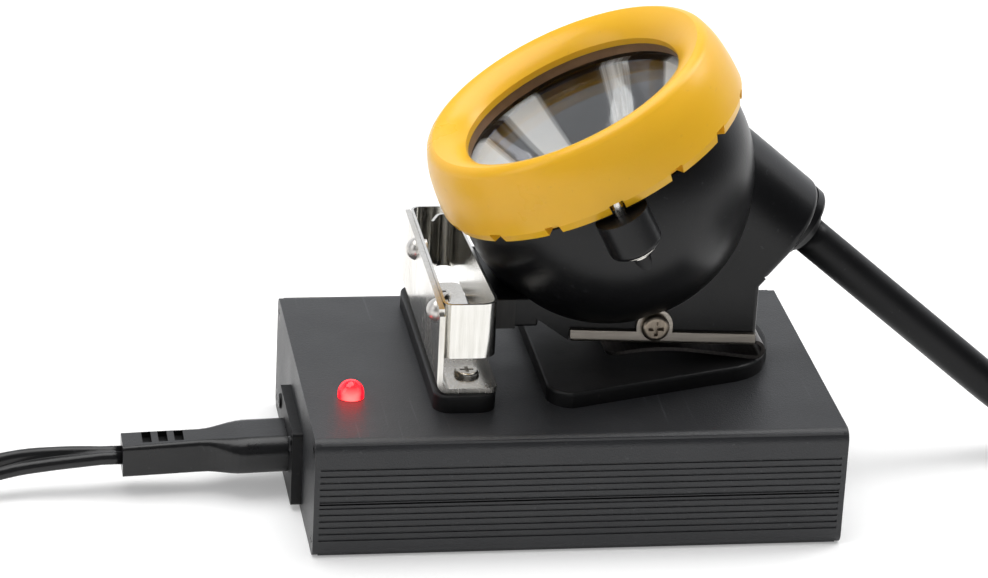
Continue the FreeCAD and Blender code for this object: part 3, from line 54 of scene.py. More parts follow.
def makeActive(piece):
    deselectAll()
    piece.select_set(True)
    bpy.context.view_layer.objects.active = piece


camera = {
    "azimuth": -9.84,
    "elevation": 23.25,
    "roll": 2.98,
    "right": -0.0123,
    "up": 0.0408,
    "distance": 0.8824,
    "sensor": 36.0,
    "focalPixels": 3949,
    "photoWidth": 988,
    "clip": (0.05, 20.0),
}


def makeCamera(values):
    a, e, r = (math.radians(values[k]) for k in ("azimuth", "elevation", "roll"))
    back = Vector((math.sin(a) * math.cos(e), -math.cos(a) * math.cos(e), math.sin(e)))
    right = Vector((0, 0, 1)).cross(back).normalized()
    up = back.cross(right)
    turnedRight = right * math.cos(r) + up * math.sin(r)
    turnedUp = up * math.cos(r) - right * math.sin(r)
    data = bpy.data.cameras.new("photoCamera")
    data.sensor_width = values["sensor"]
    data.lens = values["focalPixels"] / values["photoWidth"] * values["sensor"]
    data.clip_start, data.clip_end = values["clip"]
    item = bpy.data.objects.new("photoCamera", data)
    bpy.context.scene.collection.objects.link(item)
    place = back * values["distance"] + turnedRight * values["right"] + turnedUp * values["up"]
    columns = Matrix((turnedRight, turnedUp, back)).transposed().to_4x4()
    item.matrix_world = Matrix.Translation(place) @ columns
    bpy.context.scene.camera = item


makeCamera(camera)
print("stage: camera placed")


lampCord = {
    "exit": (55.43, 6.0, 54.87),
    "route": [(86.4, 6.0, 29.1), (115.1, 6.0, 5.2), (144.0, -1.5, 5.2), (172.5, -34.8, 5.2)],
    "coilStart": (200.0, -34.8, 5.2),
    "side": 1,
    "outerRadius": 48.6,
    "pitch": 9.4,
    "rise": 9.4,
    "arcsIn": 3,
    "tail": [(218.0, -25.4, 14.6), (243.5, 0.1, 24.2), (243.5, 28.0, 26.2), (221.0, 57.0, 27.8)],
    "end": (203.0, 57.0, 27.8),
    "diameter": 8.6,
    "step": 0.003,
    "length": 1.088,
    "stillEnd": (0.112, 0.006, 0.008),
    "movingEnd": (0.060, 0.006, 0.0511),
    "sides": 28,
}

mainsCord = {
    "exit": (-95.6, -3.4, 8.2),
    "route": [(-105.5, -3.4, 8.2), (-124.0, -4.4, 6.9), (-146.0, -18.4, 3.8)],
    "coilStart": (-166.6, -18.4, 3.8),
    "side": -1,
    "outerRadius": 41.0,
    "pitch": 6.6,
    "rise": 6.6,
    "arcsIn": 5,
    "tail": [(-186.0, -11.8, 10.4), (-201.2, 3.4, 15.8), (-201.2, 24.9, 18.6), (-186.0, 40.1, 21.4)],
    "end": (-172.0, 40.1, 21.4),
    "diameter": 5.8,
    "step": 0.0022,
    "length": 1.198,
    "coreDiameter": 2.95,
    "webHalfAngle": 152,
    "corePoints": 13,
    "twistStart": -100.0,
    "photoEdge": -122.4,
    "twistAtEdge": 60.0,
    "twistInCoil": 90.0,
    "settledBefore": 8,
    "settledAfter": 60,
    "plugEndPoints": 40,
}

pointsPerHalfTurn = 8
curveOrder = 3
curveSteps = 12
coilLeadIn = 0.2
textureRepeats = 10


def coilPoints(cord):
    # half turns spiral in, one climbs, the rest spiral out above them
    startX, y, z = cord["coilStart"]
    inner = cord["arcsIn"]
    half = cord["pitch"] / 2
    radii = [cord["outerRadius"] - k * half for k in range(inner + 1)]
    radii += [radii[inner] + k * half for k in range(1, inner)]
    points = []
    for k, radius in enumerate(radii):
        direction = 1 if k % 2 == 0 else -1
        climb = cord["rise"] if k == inner else 0.0
        handle = radius / math.cos(math.pi / (2 * pointsPerHalfTurn))
        centreY = y + direction * radius
        for j in range(pointsPerHalfTurn):
            turn = math.pi * (j + 0.5) / pointsPerHalfTurn
            points.append((
                startX + cord["side"] * direction * handle * math.sin(turn),
                centreY - direction * handle * math.cos(turn),
                z + climb * (1 - math.cos(turn)) / 2,
            ))
        y += 2 * direction * radius
        z += climb
    return points, (startX, y, z)


def cordLine(name, cord):
    wound, last = coilPoints(cord)
    x, y, z = cord["coilStart"]
    ahead = cord["side"] * cord["diameter"] * coilLeadIn
    points = [cord["exit"]] + cord["route"] + [(x - ahead, y, z)] + wound
    points += [(last[0] + ahead, last[1], last[2])] + cord["tail"] + [cord["end"]]
    curve = bpy.data.curves.new(name, "CURVE")
    curve.dimensions = "3D"
    curve.resolution_u = curveSteps
    spline = curve.splines.new("NURBS")
    spline.points.add(len(points) - 1)
    for item, point in zip(spline.points, points):
        item.co = (point[0] / 1000, point[1] / 1000, point[2] / 1000, 1)
    spline.order_u = curveOrder
    spline.use_endpoint_u = True
    holder = bpy.data.objects.new(name, curve)
    bpy.context.scene.collection.objects.link(holder)
    bpy.context.view_layer.update()
    mesh = bpy.data.meshes.new_from_object(holder)
    line = [v.co.copy() for v in mesh.vertices]
    bpy.data.meshes.remove(mesh)
    bpy.data.objects.remove(holder)
    return line


def evenLine(line, step):
    # the same line with its points a constant step apart
    lengths = [0.0]
    for a, b in zip(line, line[1:]):
        lengths.append(lengths[-1] + (b - a).length)
    count = max(2, round(lengths[-1] / step))
    even, k = [], 0
    for i in range(count + 1):
        target = lengths[-1] * i / count
        while k < len(lengths) - 2 and lengths[k + 1] < target:
            k += 1
        span = lengths[k + 1] - lengths[k]
        share = (target - lengths[k]) / span if span > 0 else 0.0
        even.append(line[k].lerp(line[k + 1], share))
    return even, lengths[-1]


def sweep(name, line, section):
    # section(i, count) gives the outline at a point of the line, as (sideways, upwards) pairs
    verts, faces = [], []
    count = len(line)
    ringSize = 0
    for i, point in enumerate(line):
        ahead = line[min(i + 1, count - 1)] - line[max(i - 1, 0)]
        ahead.normalize()
        sideways = ahead.cross(Vector((0, 0, 1))).normalized()
        upwards = sideways.cross(ahead)
        ring = section(i, count)
        ringSize = len(ring)
        verts += [point + sideways * u + upwards * v for u, v in ring]
    for i in range(count - 1):
        for j in range(ringSize):
            k = (j + 1) % ringSize
            a, b = i * ringSize, (i + 1) * ringSize
            faces.append((a + j, b + j, b + k, a + k))
    faces.append(tuple(range(ringSize)))
    faces.append(tuple(reversed(range((count - 1) * ringSize, count * ringSize))))
    mesh = bpy.data.meshes.new(name)
    mesh.from_pydata(verts, [], faces)
    mesh.update()
    layer = mesh.uv_layers.new(name="alongCord")
    step = (line[1] - line[0]).length
    for face in mesh.polygons:
        for loop in face.loop_indices:
            vertex = mesh.loops[loop].vertex_index
            i, j = divmod(vertex, ringSize)
            if j == 0 and len(face.vertices) == 4 and (vertex + ringSize - 1) in face.vertices:
                j = ringSize
            layer.data[loop].uv = (j / ringSize, i * step * textureRepeats)
    piece = bpy.data.objects.new(name, mesh)
    bpy.context.scene.collection.objects.link(piece)
    makeActive(piece)
    bpy.ops.object.mode_set(mode="EDIT")
    bpy.ops.mesh.select_all(action="SELECT")
    bpy.ops.mesh.normals_make_consistent(inside=False)
    bpy.ops.object.mode_set(mode="OBJECT")
    bpy.ops.object.shade_smooth()
    return piece


def roundSection(radius, sides):
    outline = [
        (radius * math.cos(2 * math.pi * k / sides), radius * math.sin(2 * math.pi * k / sides))
        for k in range(sides)
    ]
    return lambda i, count: outline


def twinSection(cord, line):
    # two cores side by side, joined by a thin web; the lead twists as it goes
    core = cord["coreDiameter"] / 2000
    apart = cord["diameter"] / 2000 - core
    outline = []
    for side in (1, -1):
        for k in range(cord["corePoints"]):
            angle = math.radians(cord["webHalfAngle"] * (2 * k / (cord["corePoints"] - 1) - 1))
            u = apart + core * math.cos(angle)
            v = core * math.sin(angle)
            outline.append((side * u, side * v))

    def section(i, count):
        x = line[i].x * 1000
        edgeX, coilX = cord["photoEdge"], cord["coilStart"][0] + cord["settledBefore"]
        if i > cord["settledAfter"] or x < coilX:
            twist = cord["twistInCoil"]
        elif x > edgeX:
            share = max(0.0, (cord["twistStart"] - x) / (cord["twistStart"] - edgeX))
            twist = cord["twistAtEdge"] * share
        else:
            share = (edgeX - x) / (edgeX - coilX)
            twist = cord["twistAtEdge"] + (cord["twistInCoil"] - cord["twistAtEdge"]) * share
        fromEnd = count - 1 - i
        if fromEnd < cord["plugEndPoints"]:
            twist = cord["twistInCoil"] * fromEnd / cord["plugEndPoints"]
        t = math.radians(twist)
        c, s = math.cos(t), math.sin(t)
        return [(u * c - v * s, u * s + v * c) for u, v in outline]

    return section


lampLine, lampLength = evenLine(cordLine("lampCordLine", lampCord), lampCord["step"])
mainsLine, mainsLength = evenLine(cordLine("mainsCordLine", mainsCord), mainsCord["step"])
lampCable = sweep("lampCable", lampLine, roundSection(lampCord["diameter"] / 2000, lampCord["sides"]))
mainsLead = sweep("mainsLead", mainsLine, twinSection(mainsCord, mainsLine))
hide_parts("lamp_cable", "lamp_cable_coil", "lamp_cable_tail")
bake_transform(lampCable)
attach(mainsLead, "dock")
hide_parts("mains_lead", "mains_lead_coil", "mains_lead_tail")
print("stage: cords laid, lamp cable", round(lampLength, 3), "m, mains lead", round(mainsLength, 3), "m")


class Graph:
    # a short way to lay nodes and links into one node tree
    def __init__(self, tree):
        self.tree = tree

    def node(self, kind, **settings):
        item = self.tree.nodes.new(kind)
        for key, value in settings.items():
            setattr(item, key, value)
        return item

    def link(self, a, b):
        self.tree.links.new(a, b)

    def put(self, socket, value):
        if isinstance(value, bpy.types.NodeSocket):
            self.link(value, socket)
        else:
            socket.default_value = value

    def math(self, operation, a, b=0.0):
        item = self.node("ShaderNodeMath", operation=operation)
        self.put(item.inputs[0], a)
        self.put(item.inputs[1], b)
        return item.outputs[0]

    def apart(self, source):
        item = self.node("ShaderNodeSeparateXYZ")
        self.link(source, item.inputs[0])
        return item.outputs

    def mix(self, share, a, b):
        item = self.node("ShaderNodeMix", data_type="RGBA")
        self.put(item.inputs[0], share)
        self.put(item.inputs[6], a)
        self.put(item.inputs[7], b)
        return item.outputs[2]

    def mixShader(self, share, a, b):
        item = self.node("ShaderNodeMixShader")
        for socket, value in zip(item.inputs, (share, a, b)):
            self.link(value, socket)
        return item.outputs[0]

    def noise(self, coords, scale, detail=3.0, roughness=0.55):
        item = self.node("ShaderNodeTexNoise")
        self.link(coords, item.inputs["Vector"])
        self.put(item.inputs["Scale"], scale)
        item.inputs["Detail"].default_value = detail
        item.inputs["Roughness"].default_value = roughness
        return item.outputs["Fac"]

    def ramp(self, value, low, high, toLow=0.0, toHigh=1.0, **settings):
        item = self.node("ShaderNodeMapRange", clamp=True, **settings)
        self.put(item.inputs["Value"], value)
        self.put(item.inputs["From Min"], low)
        self.put(item.inputs["From Max"], high)
        self.put(item.inputs["To Min"], toLow)
        self.put(item.inputs["To Max"], toHigh)
        return item.outputs["Result"]


def emptyGraph(owner):
    # owner is a material or a world
    owner.use_nodes = True
    owner.node_tree.nodes.clear()
    return Graph(owner.node_tree)


studio = {
    "floorSize": 6.0,
    "floorColor": (0.78, 0.78, 0.78, 1),
    "floorGlow": 0.27,
    "worldLight": 0.36,
    "darkReflected": (0.045, 0.047, 0.052, 1),
    "whiteReflected": (0.94, 0.96, 1.0, 1),
    "backStart": -0.05,
    "backFull": 0.60,
    "ceilingStart": 0.76,
    "ceilingFull": 0.42,
    "lamps": [
        {
            "name": "topSoftbox", "at": (-0.15, 0.20, 1.25), "to": (0.0, 0.0, 0.05),
            "size": (1.5, 1.0), "watts": 15.5,
        },
        {
            "name": "rightSoftbox", "at": (0.85, 0.30, 0.95), "to": (0.03, 0.0, 0.06),
            "size": (0.5, 0.7), "watts": 6.0,
        },
        {
            "name": "leftSoftbox", "at": (-1.2, -0.35, 0.6), "to": (0.0, 0.0, 0.05),
            "size": (0.6, 0.9), "watts": 2.6,
        },
        {
            "name": "frontFill", "at": (0.0, -1.6, 0.9), "to": (0.0, 0.0, 0.04),
            "size": (1.6, 0.8), "watts": 0.8,
        },
    ],
}


def makeFloor(values):
    deselectAll()
    bpy.ops.mesh.primitive_plane_add(size=values["floorSize"], location=(0, 0, 0))
    floor = bpy.context.object
    floor.name = "studioFloor"
    material = bpy.data.materials.new("paperSweep")
    g = emptyGraph(material)
    out = g.node("ShaderNodeOutputMaterial")
    paper = g.node("ShaderNodeBsdfDiffuse")
    paper.inputs["Color"].default_value = values["floorColor"]
    # the glow shows where the floor is seen, mirrored or looked at through the lens, and lights nothing
    path = g.node("ShaderNodeLightPath").outputs
    seen = g.math("MAXIMUM", path["Is Camera Ray"], path["Is Glossy Ray"])
    seen = g.math("MAXIMUM", seen, path["Is Transmission Ray"])
    glow = g.node("ShaderNodeEmission")
    g.link(g.math("MULTIPLY", seen, values["floorGlow"]), glow.inputs["Strength"])
    added = g.node("ShaderNodeAddShader")
    g.link(paper.outputs[0], added.inputs[0])
    g.link(glow.outputs[0], added.inputs[1])
    g.link(added.outputs[0], out.inputs["Surface"])
    floor.data.materials.append(material)


def makeWorld(values):
    world = bpy.data.worlds.new("studioWorld")
    bpy.context.scene.world = world
    g = emptyGraph(world)
    out = g.node("ShaderNodeOutputWorld")
    soft, white, mirrored = [g.node("ShaderNodeBackground") for _ in range(3)]
    soft.inputs["Color"].default_value = (1, 1, 1, 1)
    soft.inputs["Strength"].default_value = values["worldLight"]
    white.inputs["Color"].default_value = (1, 1, 1, 1)
    # reflections see a white wall behind and beside the object, a dark ceiling and a dark room in front
    apart = g.apart(g.node("ShaderNodeTexCoord").outputs["Generated"])
    smooth = {"interpolation_type": "SMOOTHSTEP"}
    wall = g.ramp(apart["Y"], values["backStart"], values["backFull"], **smooth)
    low = g.ramp(apart["Z"], values["ceilingStart"], values["ceilingFull"], **smooth)
    room = g.mix(g.math("MULTIPLY", wall, low), values["darkReflected"], values["whiteReflected"])
    g.link(room, mirrored.inputs["Color"])
    path = g.node("ShaderNodeLightPath").outputs
    unseen = g.mixShader(path["Is Glossy Ray"], soft.outputs[0], mirrored.outputs[0])
    g.link(g.mixShader(path["Is Camera Ray"], unseen, white.outputs[0]), out.inputs["Surface"])


def makeLamps(values):
    for lamp in values["lamps"]:
        data = bpy.data.lights.new(lamp["name"], "AREA")
        data.shape = "RECTANGLE"
        data.size, data.size_y = lamp["size"]
        data.energy = lamp["watts"]
        item = bpy.data.objects.new(lamp["name"], data)
        item.location = lamp["at"]
        aim = Vector(lamp["to"]) - Vector(lamp["at"])
        item.rotation_euler = aim.to_track_quat("-Z", "Y").to_euler()
        bpy.context.scene.collection.objects.link(item)


makeFloor(studio)
makeWorld(studio)
makeLamps(studio)
bpy.context.scene.view_settings.view_transform = "Standard"
print("stage: floor and lights set")


def newGroup(name, inputs, outputs):
    tree = bpy.data.node_groups.new(name, "ShaderNodeTree")
    for label, kind, value in inputs:
        socket = tree.interface.new_socket(label, in_out="INPUT", socket_type=kind)
        socket.default_value = value
    for label, kind in outputs:
        tree.interface.new_socket(label, in_out="OUTPUT", socket_type=kind)
    g = Graph(tree)
    return tree, g, g.node("NodeGroupInput").outputs, g.node("NodeGroupOutput").inputs


number, color, vector = "NodeSocketFloat", "NodeSocketColor", "NodeSocketVector"


skinNoise = {
    "patchDetail": 4.0, "patchEdges": (0.35, 0.65), "grainDetail": 2.0, "grainRoughness": 0.7,
    "sparkleEdges": (0.52, 0.72), "hazeScale": 2.3, "hazeDetail": 5.0, "hazeEdges": (0.3, 0.7),
}

streakNoise = {
    "lineDetail": 4.0, "lineRoughness": 0.65, "lineEdges": (0.3, 0.7), "scratchTurn": (0.4, 0.7, 0.9),
    "scratchStretch": (1.0, 0.03, 1.0), "scratchSize": 700.0, "scratchDetail": 2.0,
    "scratchRoughness": 0.5, "scratchEdges": (0.70, 0.74), "scratchDepth": 0.6,
}

dustNoise = {
    "upEdges": (0.35, 0.95), "speckDetail": 2.0, "speckRoughness": 0.8, "speckEdges": (0.58, 0.70),
    "filmSize": 35.0, "filmDetail": 4.0, "filmEdges": (0.35, 0.75), "filmRange": (0.15, 0.5),
}


def makeSkinGroup(v):
    # colour, roughness and height of a moulded, cast or blasted skin
    tree, g, into, out = newGroup(
        "mouldedSkin",
        [
            ("Color", color, (0.5, 0.5, 0.5, 1)), ("Patch Color", color, (0.4, 0.4, 0.4, 1)),
            ("Patch Size", number, 60.0), ("Patch Amount", number, 0.5),
            ("Grain Size", number, 1500.0), ("Grain Amount", number, 0.2),
            ("Rough Low", number, 0.3), ("Rough High", number, 0.4),
            ("Vector", vector, (0, 0, 0)),
        ],
        [("Color", color), ("Roughness", number), ("Height", number)],
    )
    place = into["Vector"]
    patches = g.ramp(g.noise(place, into["Patch Size"], v["patchDetail"]), *v["patchEdges"])
    patches = g.math("MULTIPLY", patches, into["Patch Amount"])
    grain = g.noise(place, into["Grain Size"], v["grainDetail"], v["grainRoughness"])
    sparkle = g.ramp(grain, *v["sparkleEdges"])
    base = g.mix(patches, into["Color"], into["Patch Color"])
    lifted = g.mix(g.math("MULTIPLY", sparkle, into["Grain Amount"]), base, (1, 1, 1, 1))
    g.link(lifted, out["Color"])
    haze = g.noise(place, g.math("MULTIPLY", into["Patch Size"], v["hazeScale"]), v["hazeDetail"])
    g.link(g.ramp(haze, *v["hazeEdges"], into["Rough Low"], into["Rough High"]), out["Roughness"])
    g.link(grain, out["Height"])
    return tree


def makeStreakGroup(v):
    # fine parallel lines from brushing, drawing or rolling, and a few cross scratches
    tree, g, into, out = newGroup(
        "brushedStreaks",
        [
            ("Stretch", vector, (1, 1, 1)), ("Fineness", number, 900.0),
            ("Scratches", number, 0.3), ("Vector", vector, (0, 0, 0)),
        ],
        [("Mask", number), ("Height", number), ("Scratch", number)],
    )
    scaled = g.node("ShaderNodeVectorMath", operation="MULTIPLY")
    g.link(into["Vector"], scaled.inputs[0])
    g.link(into["Stretch"], scaled.inputs[1])
    lines = g.noise(scaled.outputs[0], into["Fineness"], v["lineDetail"], v["lineRoughness"])
    g.link(g.ramp(lines, *v["lineEdges"]), out["Mask"])
    turned = g.node("ShaderNodeMapping")
    g.link(into["Vector"], turned.inputs["Vector"])
    turned.inputs["Rotation"].default_value = v["scratchTurn"]
    turned.inputs["Scale"].default_value = v["scratchStretch"]
    scratch = g.noise(turned.outputs[0], v["scratchSize"], v["scratchDetail"], v["scratchRoughness"])
    thin = g.math("MULTIPLY", g.ramp(scratch, *v["scratchEdges"]), into["Scratches"])
    g.link(thin, out["Scratch"])
    g.link(g.math("SUBTRACT", lines, g.math("MULTIPLY", thin, v["scratchDepth"])), out["Height"])
    return tree


def makeDustGroup(v):
    # fine dust that lies on faces looking up
    tree, g, into, out = newGroup(
        "settledDust",
        [("Amount", number, 0.2), ("Speck Size", number, 900.0), ("Vector", vector, (0, 0, 0))],
        [("Mask", number)],
    )
    facing = g.ramp(g.apart(g.node("ShaderNodeNewGeometry").outputs["Normal"])["Z"], *v["upEdges"])
    specks = g.noise(into["Vector"], into["Speck Size"], v["speckDetail"], v["speckRoughness"])
    film = g.noise(into["Vector"], v["filmSize"], v["filmDetail"])
    film = g.ramp(film, *v["filmEdges"], *v["filmRange"])
    both = g.math("MAXIMUM", g.ramp(specks, *v["speckEdges"]), film)
    g.link(g.math("MULTIPLY", g.math("MULTIPLY", facing, both), into["Amount"]), out["Mask"])
    return tree


skinGroup = makeSkinGroup(skinNoise)
streakGroup = makeStreakGroup(streakNoise)
dustGroup = makeDustGroup(dustNoise)


def startMaterial(name):
    material = bpy.data.materials.new(name)
    g = emptyGraph(material)
    out = g.node("ShaderNodeOutputMaterial")
    shader = g.node("ShaderNodeBsdfPrincipled")
    g.link(shader.outputs[0], out.inputs["Surface"])
    place = g.node("ShaderNodeTexCoord").outputs["Object"]
    return material, g, shader, place


def useGroup(g, tree, place, **values):
    item = g.node("ShaderNodeGroup", node_tree=tree)
    g.link(place, item.inputs["Vector"])
    for key, value in values.items():
        label = "".join(" " + c if c.isupper() else c for c in key).strip().title()
        g.put(item.inputs[label], value)
    return item.outputs


def addBump(g, shader, height, distance):
    bump = g.node("ShaderNodeBump")
    bump.inputs["Strength"].default_value = 1.0
    bump.inputs["Distance"].default_value = distance
    g.link(height, bump.inputs["Height"])
    g.link(bump.outputs[0], shader.inputs["Normal"])


plasticDefaults = {
    "dust": 0.0, "speckSize": 900.0, "dustColor": (0.35, 0.34, 0.33, 1), "scuffSize": 400.0,
    "scuffs": 0.35, "scuffColor": (0.035, 0.035, 0.038, 1), "specular": 0.5, "subsurface": 0.0,
    "subsurfaceRadius": (0.001, 0.001, 0.001), "coat": 0.0, "coatRoughness": 0.1, "metallic": 0.0,
}


def plasticMaterial(name, given):
    v = {**plasticDefaults, **given}
    material, g, shader, place = startMaterial(name)
    skin = useGroup(
        g, skinGroup, place, color=v["color"], patchColor=v["patchColor"], patchSize=v["patchSize"],
        patchAmount=v["patchAmount"], grainSize=v["grainSize"], grainAmount=v["grainAmount"],
        roughLow=v["rough"][0], roughHigh=v["rough"][1],
    )
    base = skin["Color"]
    if v["dust"]:
        dust = useGroup(g, dustGroup, place, amount=v["dust"], speckSize=v["speckSize"])
        base = g.mix(dust["Mask"], base, v["dustColor"])
    scuffs = useGroup(g, streakGroup, place, fineness=v["scuffSize"], scratches=v["scuffs"])
    g.link(g.mix(scuffs["Scratch"], base, v["scuffColor"]), shader.inputs["Base Color"])
    g.link(skin["Roughness"], shader.inputs["Roughness"])
    addBump(g, shader, skin["Height"], v["grainHeight"])
    for label, value in (
        ("Specular IOR Level", v["specular"]), ("Subsurface Weight", v["subsurface"]),
        ("Subsurface Radius", v["subsurfaceRadius"]), ("Subsurface Scale", 1.0),
        ("Coat Weight", v["coat"]), ("Coat Roughness", v["coatRoughness"]), ("Metallic", v["metallic"]),
    ):
        shader.inputs[label].default_value = value
    return material


metalDefaults = {
    "metallic": 1.0, "stainDetail": 4.0, "stainEdges": (0.45, 0.75), "stainRough": 0.08,
    "scratchShare": 0.5,
}


def metalMaterial(name, given):
    v = {**metalDefaults, **given}
    material, g, shader, place = startMaterial(name)
    streaks = useGroup(
        g, streakGroup, place, stretch=v["stretch"], fineness=v["fineness"], scratches=v["scratches"],
    )
    tone = g.mix(streaks["Mask"], v["color"], v["lineColor"])
    stains = g.ramp(g.noise(place, v["stainSize"], v["stainDetail"]), *v["stainEdges"])
    tone = g.mix(g.math("MULTIPLY", stains, v["stainAmount"]), tone, v["stainColor"])
    tone = g.mix(g.math("MULTIPLY", streaks["Scratch"], v["scratchShare"]), tone, v["scratchColor"])
    rough = g.ramp(streaks["Mask"], 0.0, 1.0, *v["rough"])
    rough = g.math("ADD", rough, g.math("MULTIPLY", stains, v["stainRough"]))
    g.link(tone, shader.inputs["Base Color"])
    g.link(rough, shader.inputs["Roughness"])
    shader.inputs["Metallic"].default_value = v["metallic"]
    addBump(g, shader, streaks["Height"], v["lineHeight"])
    return material


finishes = {
    "caseSkin": {
        "color": (0.013, 0.0138, 0.016, 1), "patchColor": (0.018, 0.019, 0.022, 1), "patchSize": 22.0,
        "patchAmount": 0.6, "grainSize": 2600.0, "grainAmount": 0.0, "rough": (0.40, 0.50),
        "grainHeight": 0.00008, "dust": 0.05, "speckSize": 1500.0, "specular": 0.6, "metallic": 0.1,
        "scuffs": 0.45, "scuffColor": (0.060, 0.062, 0.066, 1),
    },
    "blackScrew": {
        "color": (0.010, 0.010, 0.011, 1), "patchColor": (0.020, 0.020, 0.021, 1), "patchSize": 300.0,
        "patchAmount": 0.5, "grainSize": 3000.0, "grainAmount": 0.0, "rough": (0.28, 0.42),
        "grainHeight": 0.00002, "metallic": 0.5,
    },
    "blackPlastic": {
        "color": (0.005, 0.005, 0.0055, 1), "patchColor": (0.009, 0.009, 0.010, 1), "patchSize": 45.0,
        "patchAmount": 0.5, "grainSize": 1900.0, "grainAmount": 0.0, "rough": (0.42, 0.52),
        "grainHeight": 0.00003, "dust": 0.02, "specular": 0.3,
    },
    "lampBodySkin": {
        "color": (0.0035, 0.0035, 0.004, 1), "patchColor": (0.006, 0.006, 0.007, 1), "patchSize": 30.0,
        "patchAmount": 0.5, "grainSize": 1700.0, "grainAmount": 0.0, "rough": (0.29, 0.36),
        "grainHeight": 0.00002, "dust": 0.01, "specular": 0.32,
    },
    "yellowSkin": {
        "color": (0.86, 0.475, 0.018, 1), "patchColor": (0.82, 0.435, 0.014, 1), "patchSize": 24.0,
        "patchAmount": 0.6, "grainSize": 1300.0, "grainAmount": 0.0, "rough": (0.26, 0.34),
        "grainHeight": 0.00002, "subsurface": 0.10, "subsurfaceRadius": (0.004, 0.0015, 0.0004),
        "specular": 0.45, "scuffs": 0.3, "scuffColor": (0.70, 0.36, 0.03, 1),
    },
    "gasketRubber": {
        "color": (0.26, 0.15, 0.075, 1), "patchColor": (0.17, 0.095, 0.05, 1), "patchSize": 200.0,
        "patchAmount": 0.6, "grainSize": 2500.0, "grainAmount": 0.0, "rough": (0.34, 0.50),
        "grainHeight": 0.00004, "scuffs": 0.2, "scuffColor": (0.30, 0.20, 0.12, 1),
    },
    "boardSkin": {
        "color": (0.02, 0.12, 0.05, 1), "patchColor": (0.01, 0.07, 0.03, 1), "patchSize": 260.0,
        "patchAmount": 0.8, "grainSize": 1500.0, "grainAmount": 0.05, "rough": (0.3, 0.45),
        "grainHeight": 0.00003, "scuffs": 0.2, "scuffColor": (0.05, 0.20, 0.09, 1),
    },
    "capacitorSleeve": {
        "color": (0.02, 0.03, 0.12, 1), "patchColor": (0.01, 0.015, 0.07, 1), "patchSize": 120.0,
        "patchAmount": 0.5, "grainSize": 1800.0, "grainAmount": 0.04, "rough": (0.25, 0.35),
        "grainHeight": 0.00002, "scuffs": 0.2, "scuffColor": (0.05, 0.06, 0.18, 1),
    },
    "switchCase": {
        "color": (0.05, 0.05, 0.055, 1), "patchColor": (0.03, 0.03, 0.03, 1), "patchSize": 90.0,
        "patchAmount": 0.5, "grainSize": 1800.0, "grainAmount": 0.04, "rough": (0.4, 0.5),
        "grainHeight": 0.00003,
    },
    "cableSkin": {
        "color": (0.0045, 0.0045, 0.005, 1), "patchColor": (0.008, 0.008, 0.009, 1), "patchSize": 40.0,
        "patchAmount": 0.6, "grainSize": 1400.0, "grainAmount": 0.0, "rough": (0.34, 0.44),
        "grainHeight": 0.00003, "dust": 0.01, "specular": 0.22,
    },
    "leadSkin": {
        "color": (0.005, 0.005, 0.0055, 1), "patchColor": (0.009, 0.009, 0.010, 1), "patchSize": 60.0,
        "patchAmount": 0.6, "grainSize": 1700.0, "grainAmount": 0.0, "rough": (0.26, 0.36),
        "grainHeight": 0.00003, "dust": 0.02, "specular": 0.45,
    },
    "strapWeave": {
        "color": (0.02, 0.02, 0.022, 1), "patchColor": (0.035, 0.035, 0.038, 1), "patchSize": 500.0,
        "patchAmount": 0.8, "grainSize": 1200.0, "grainAmount": 0.08, "rough": (0.7, 0.85),
        "grainHeight": 0.00015,
    },
    "ledDome": {
        "color": (0.85, 0.72, 0.20, 1), "patchColor": (0.75, 0.6, 0.12, 1), "patchSize": 300.0,
        "patchAmount": 0.5, "grainSize": 2000.0, "grainAmount": 0.0, "rough": (0.1, 0.2),
        "grainHeight": 0.00001, "coat": 0.6, "scuffs": 0.1, "scuffColor": (0.90, 0.80, 0.35, 1),
    },
}

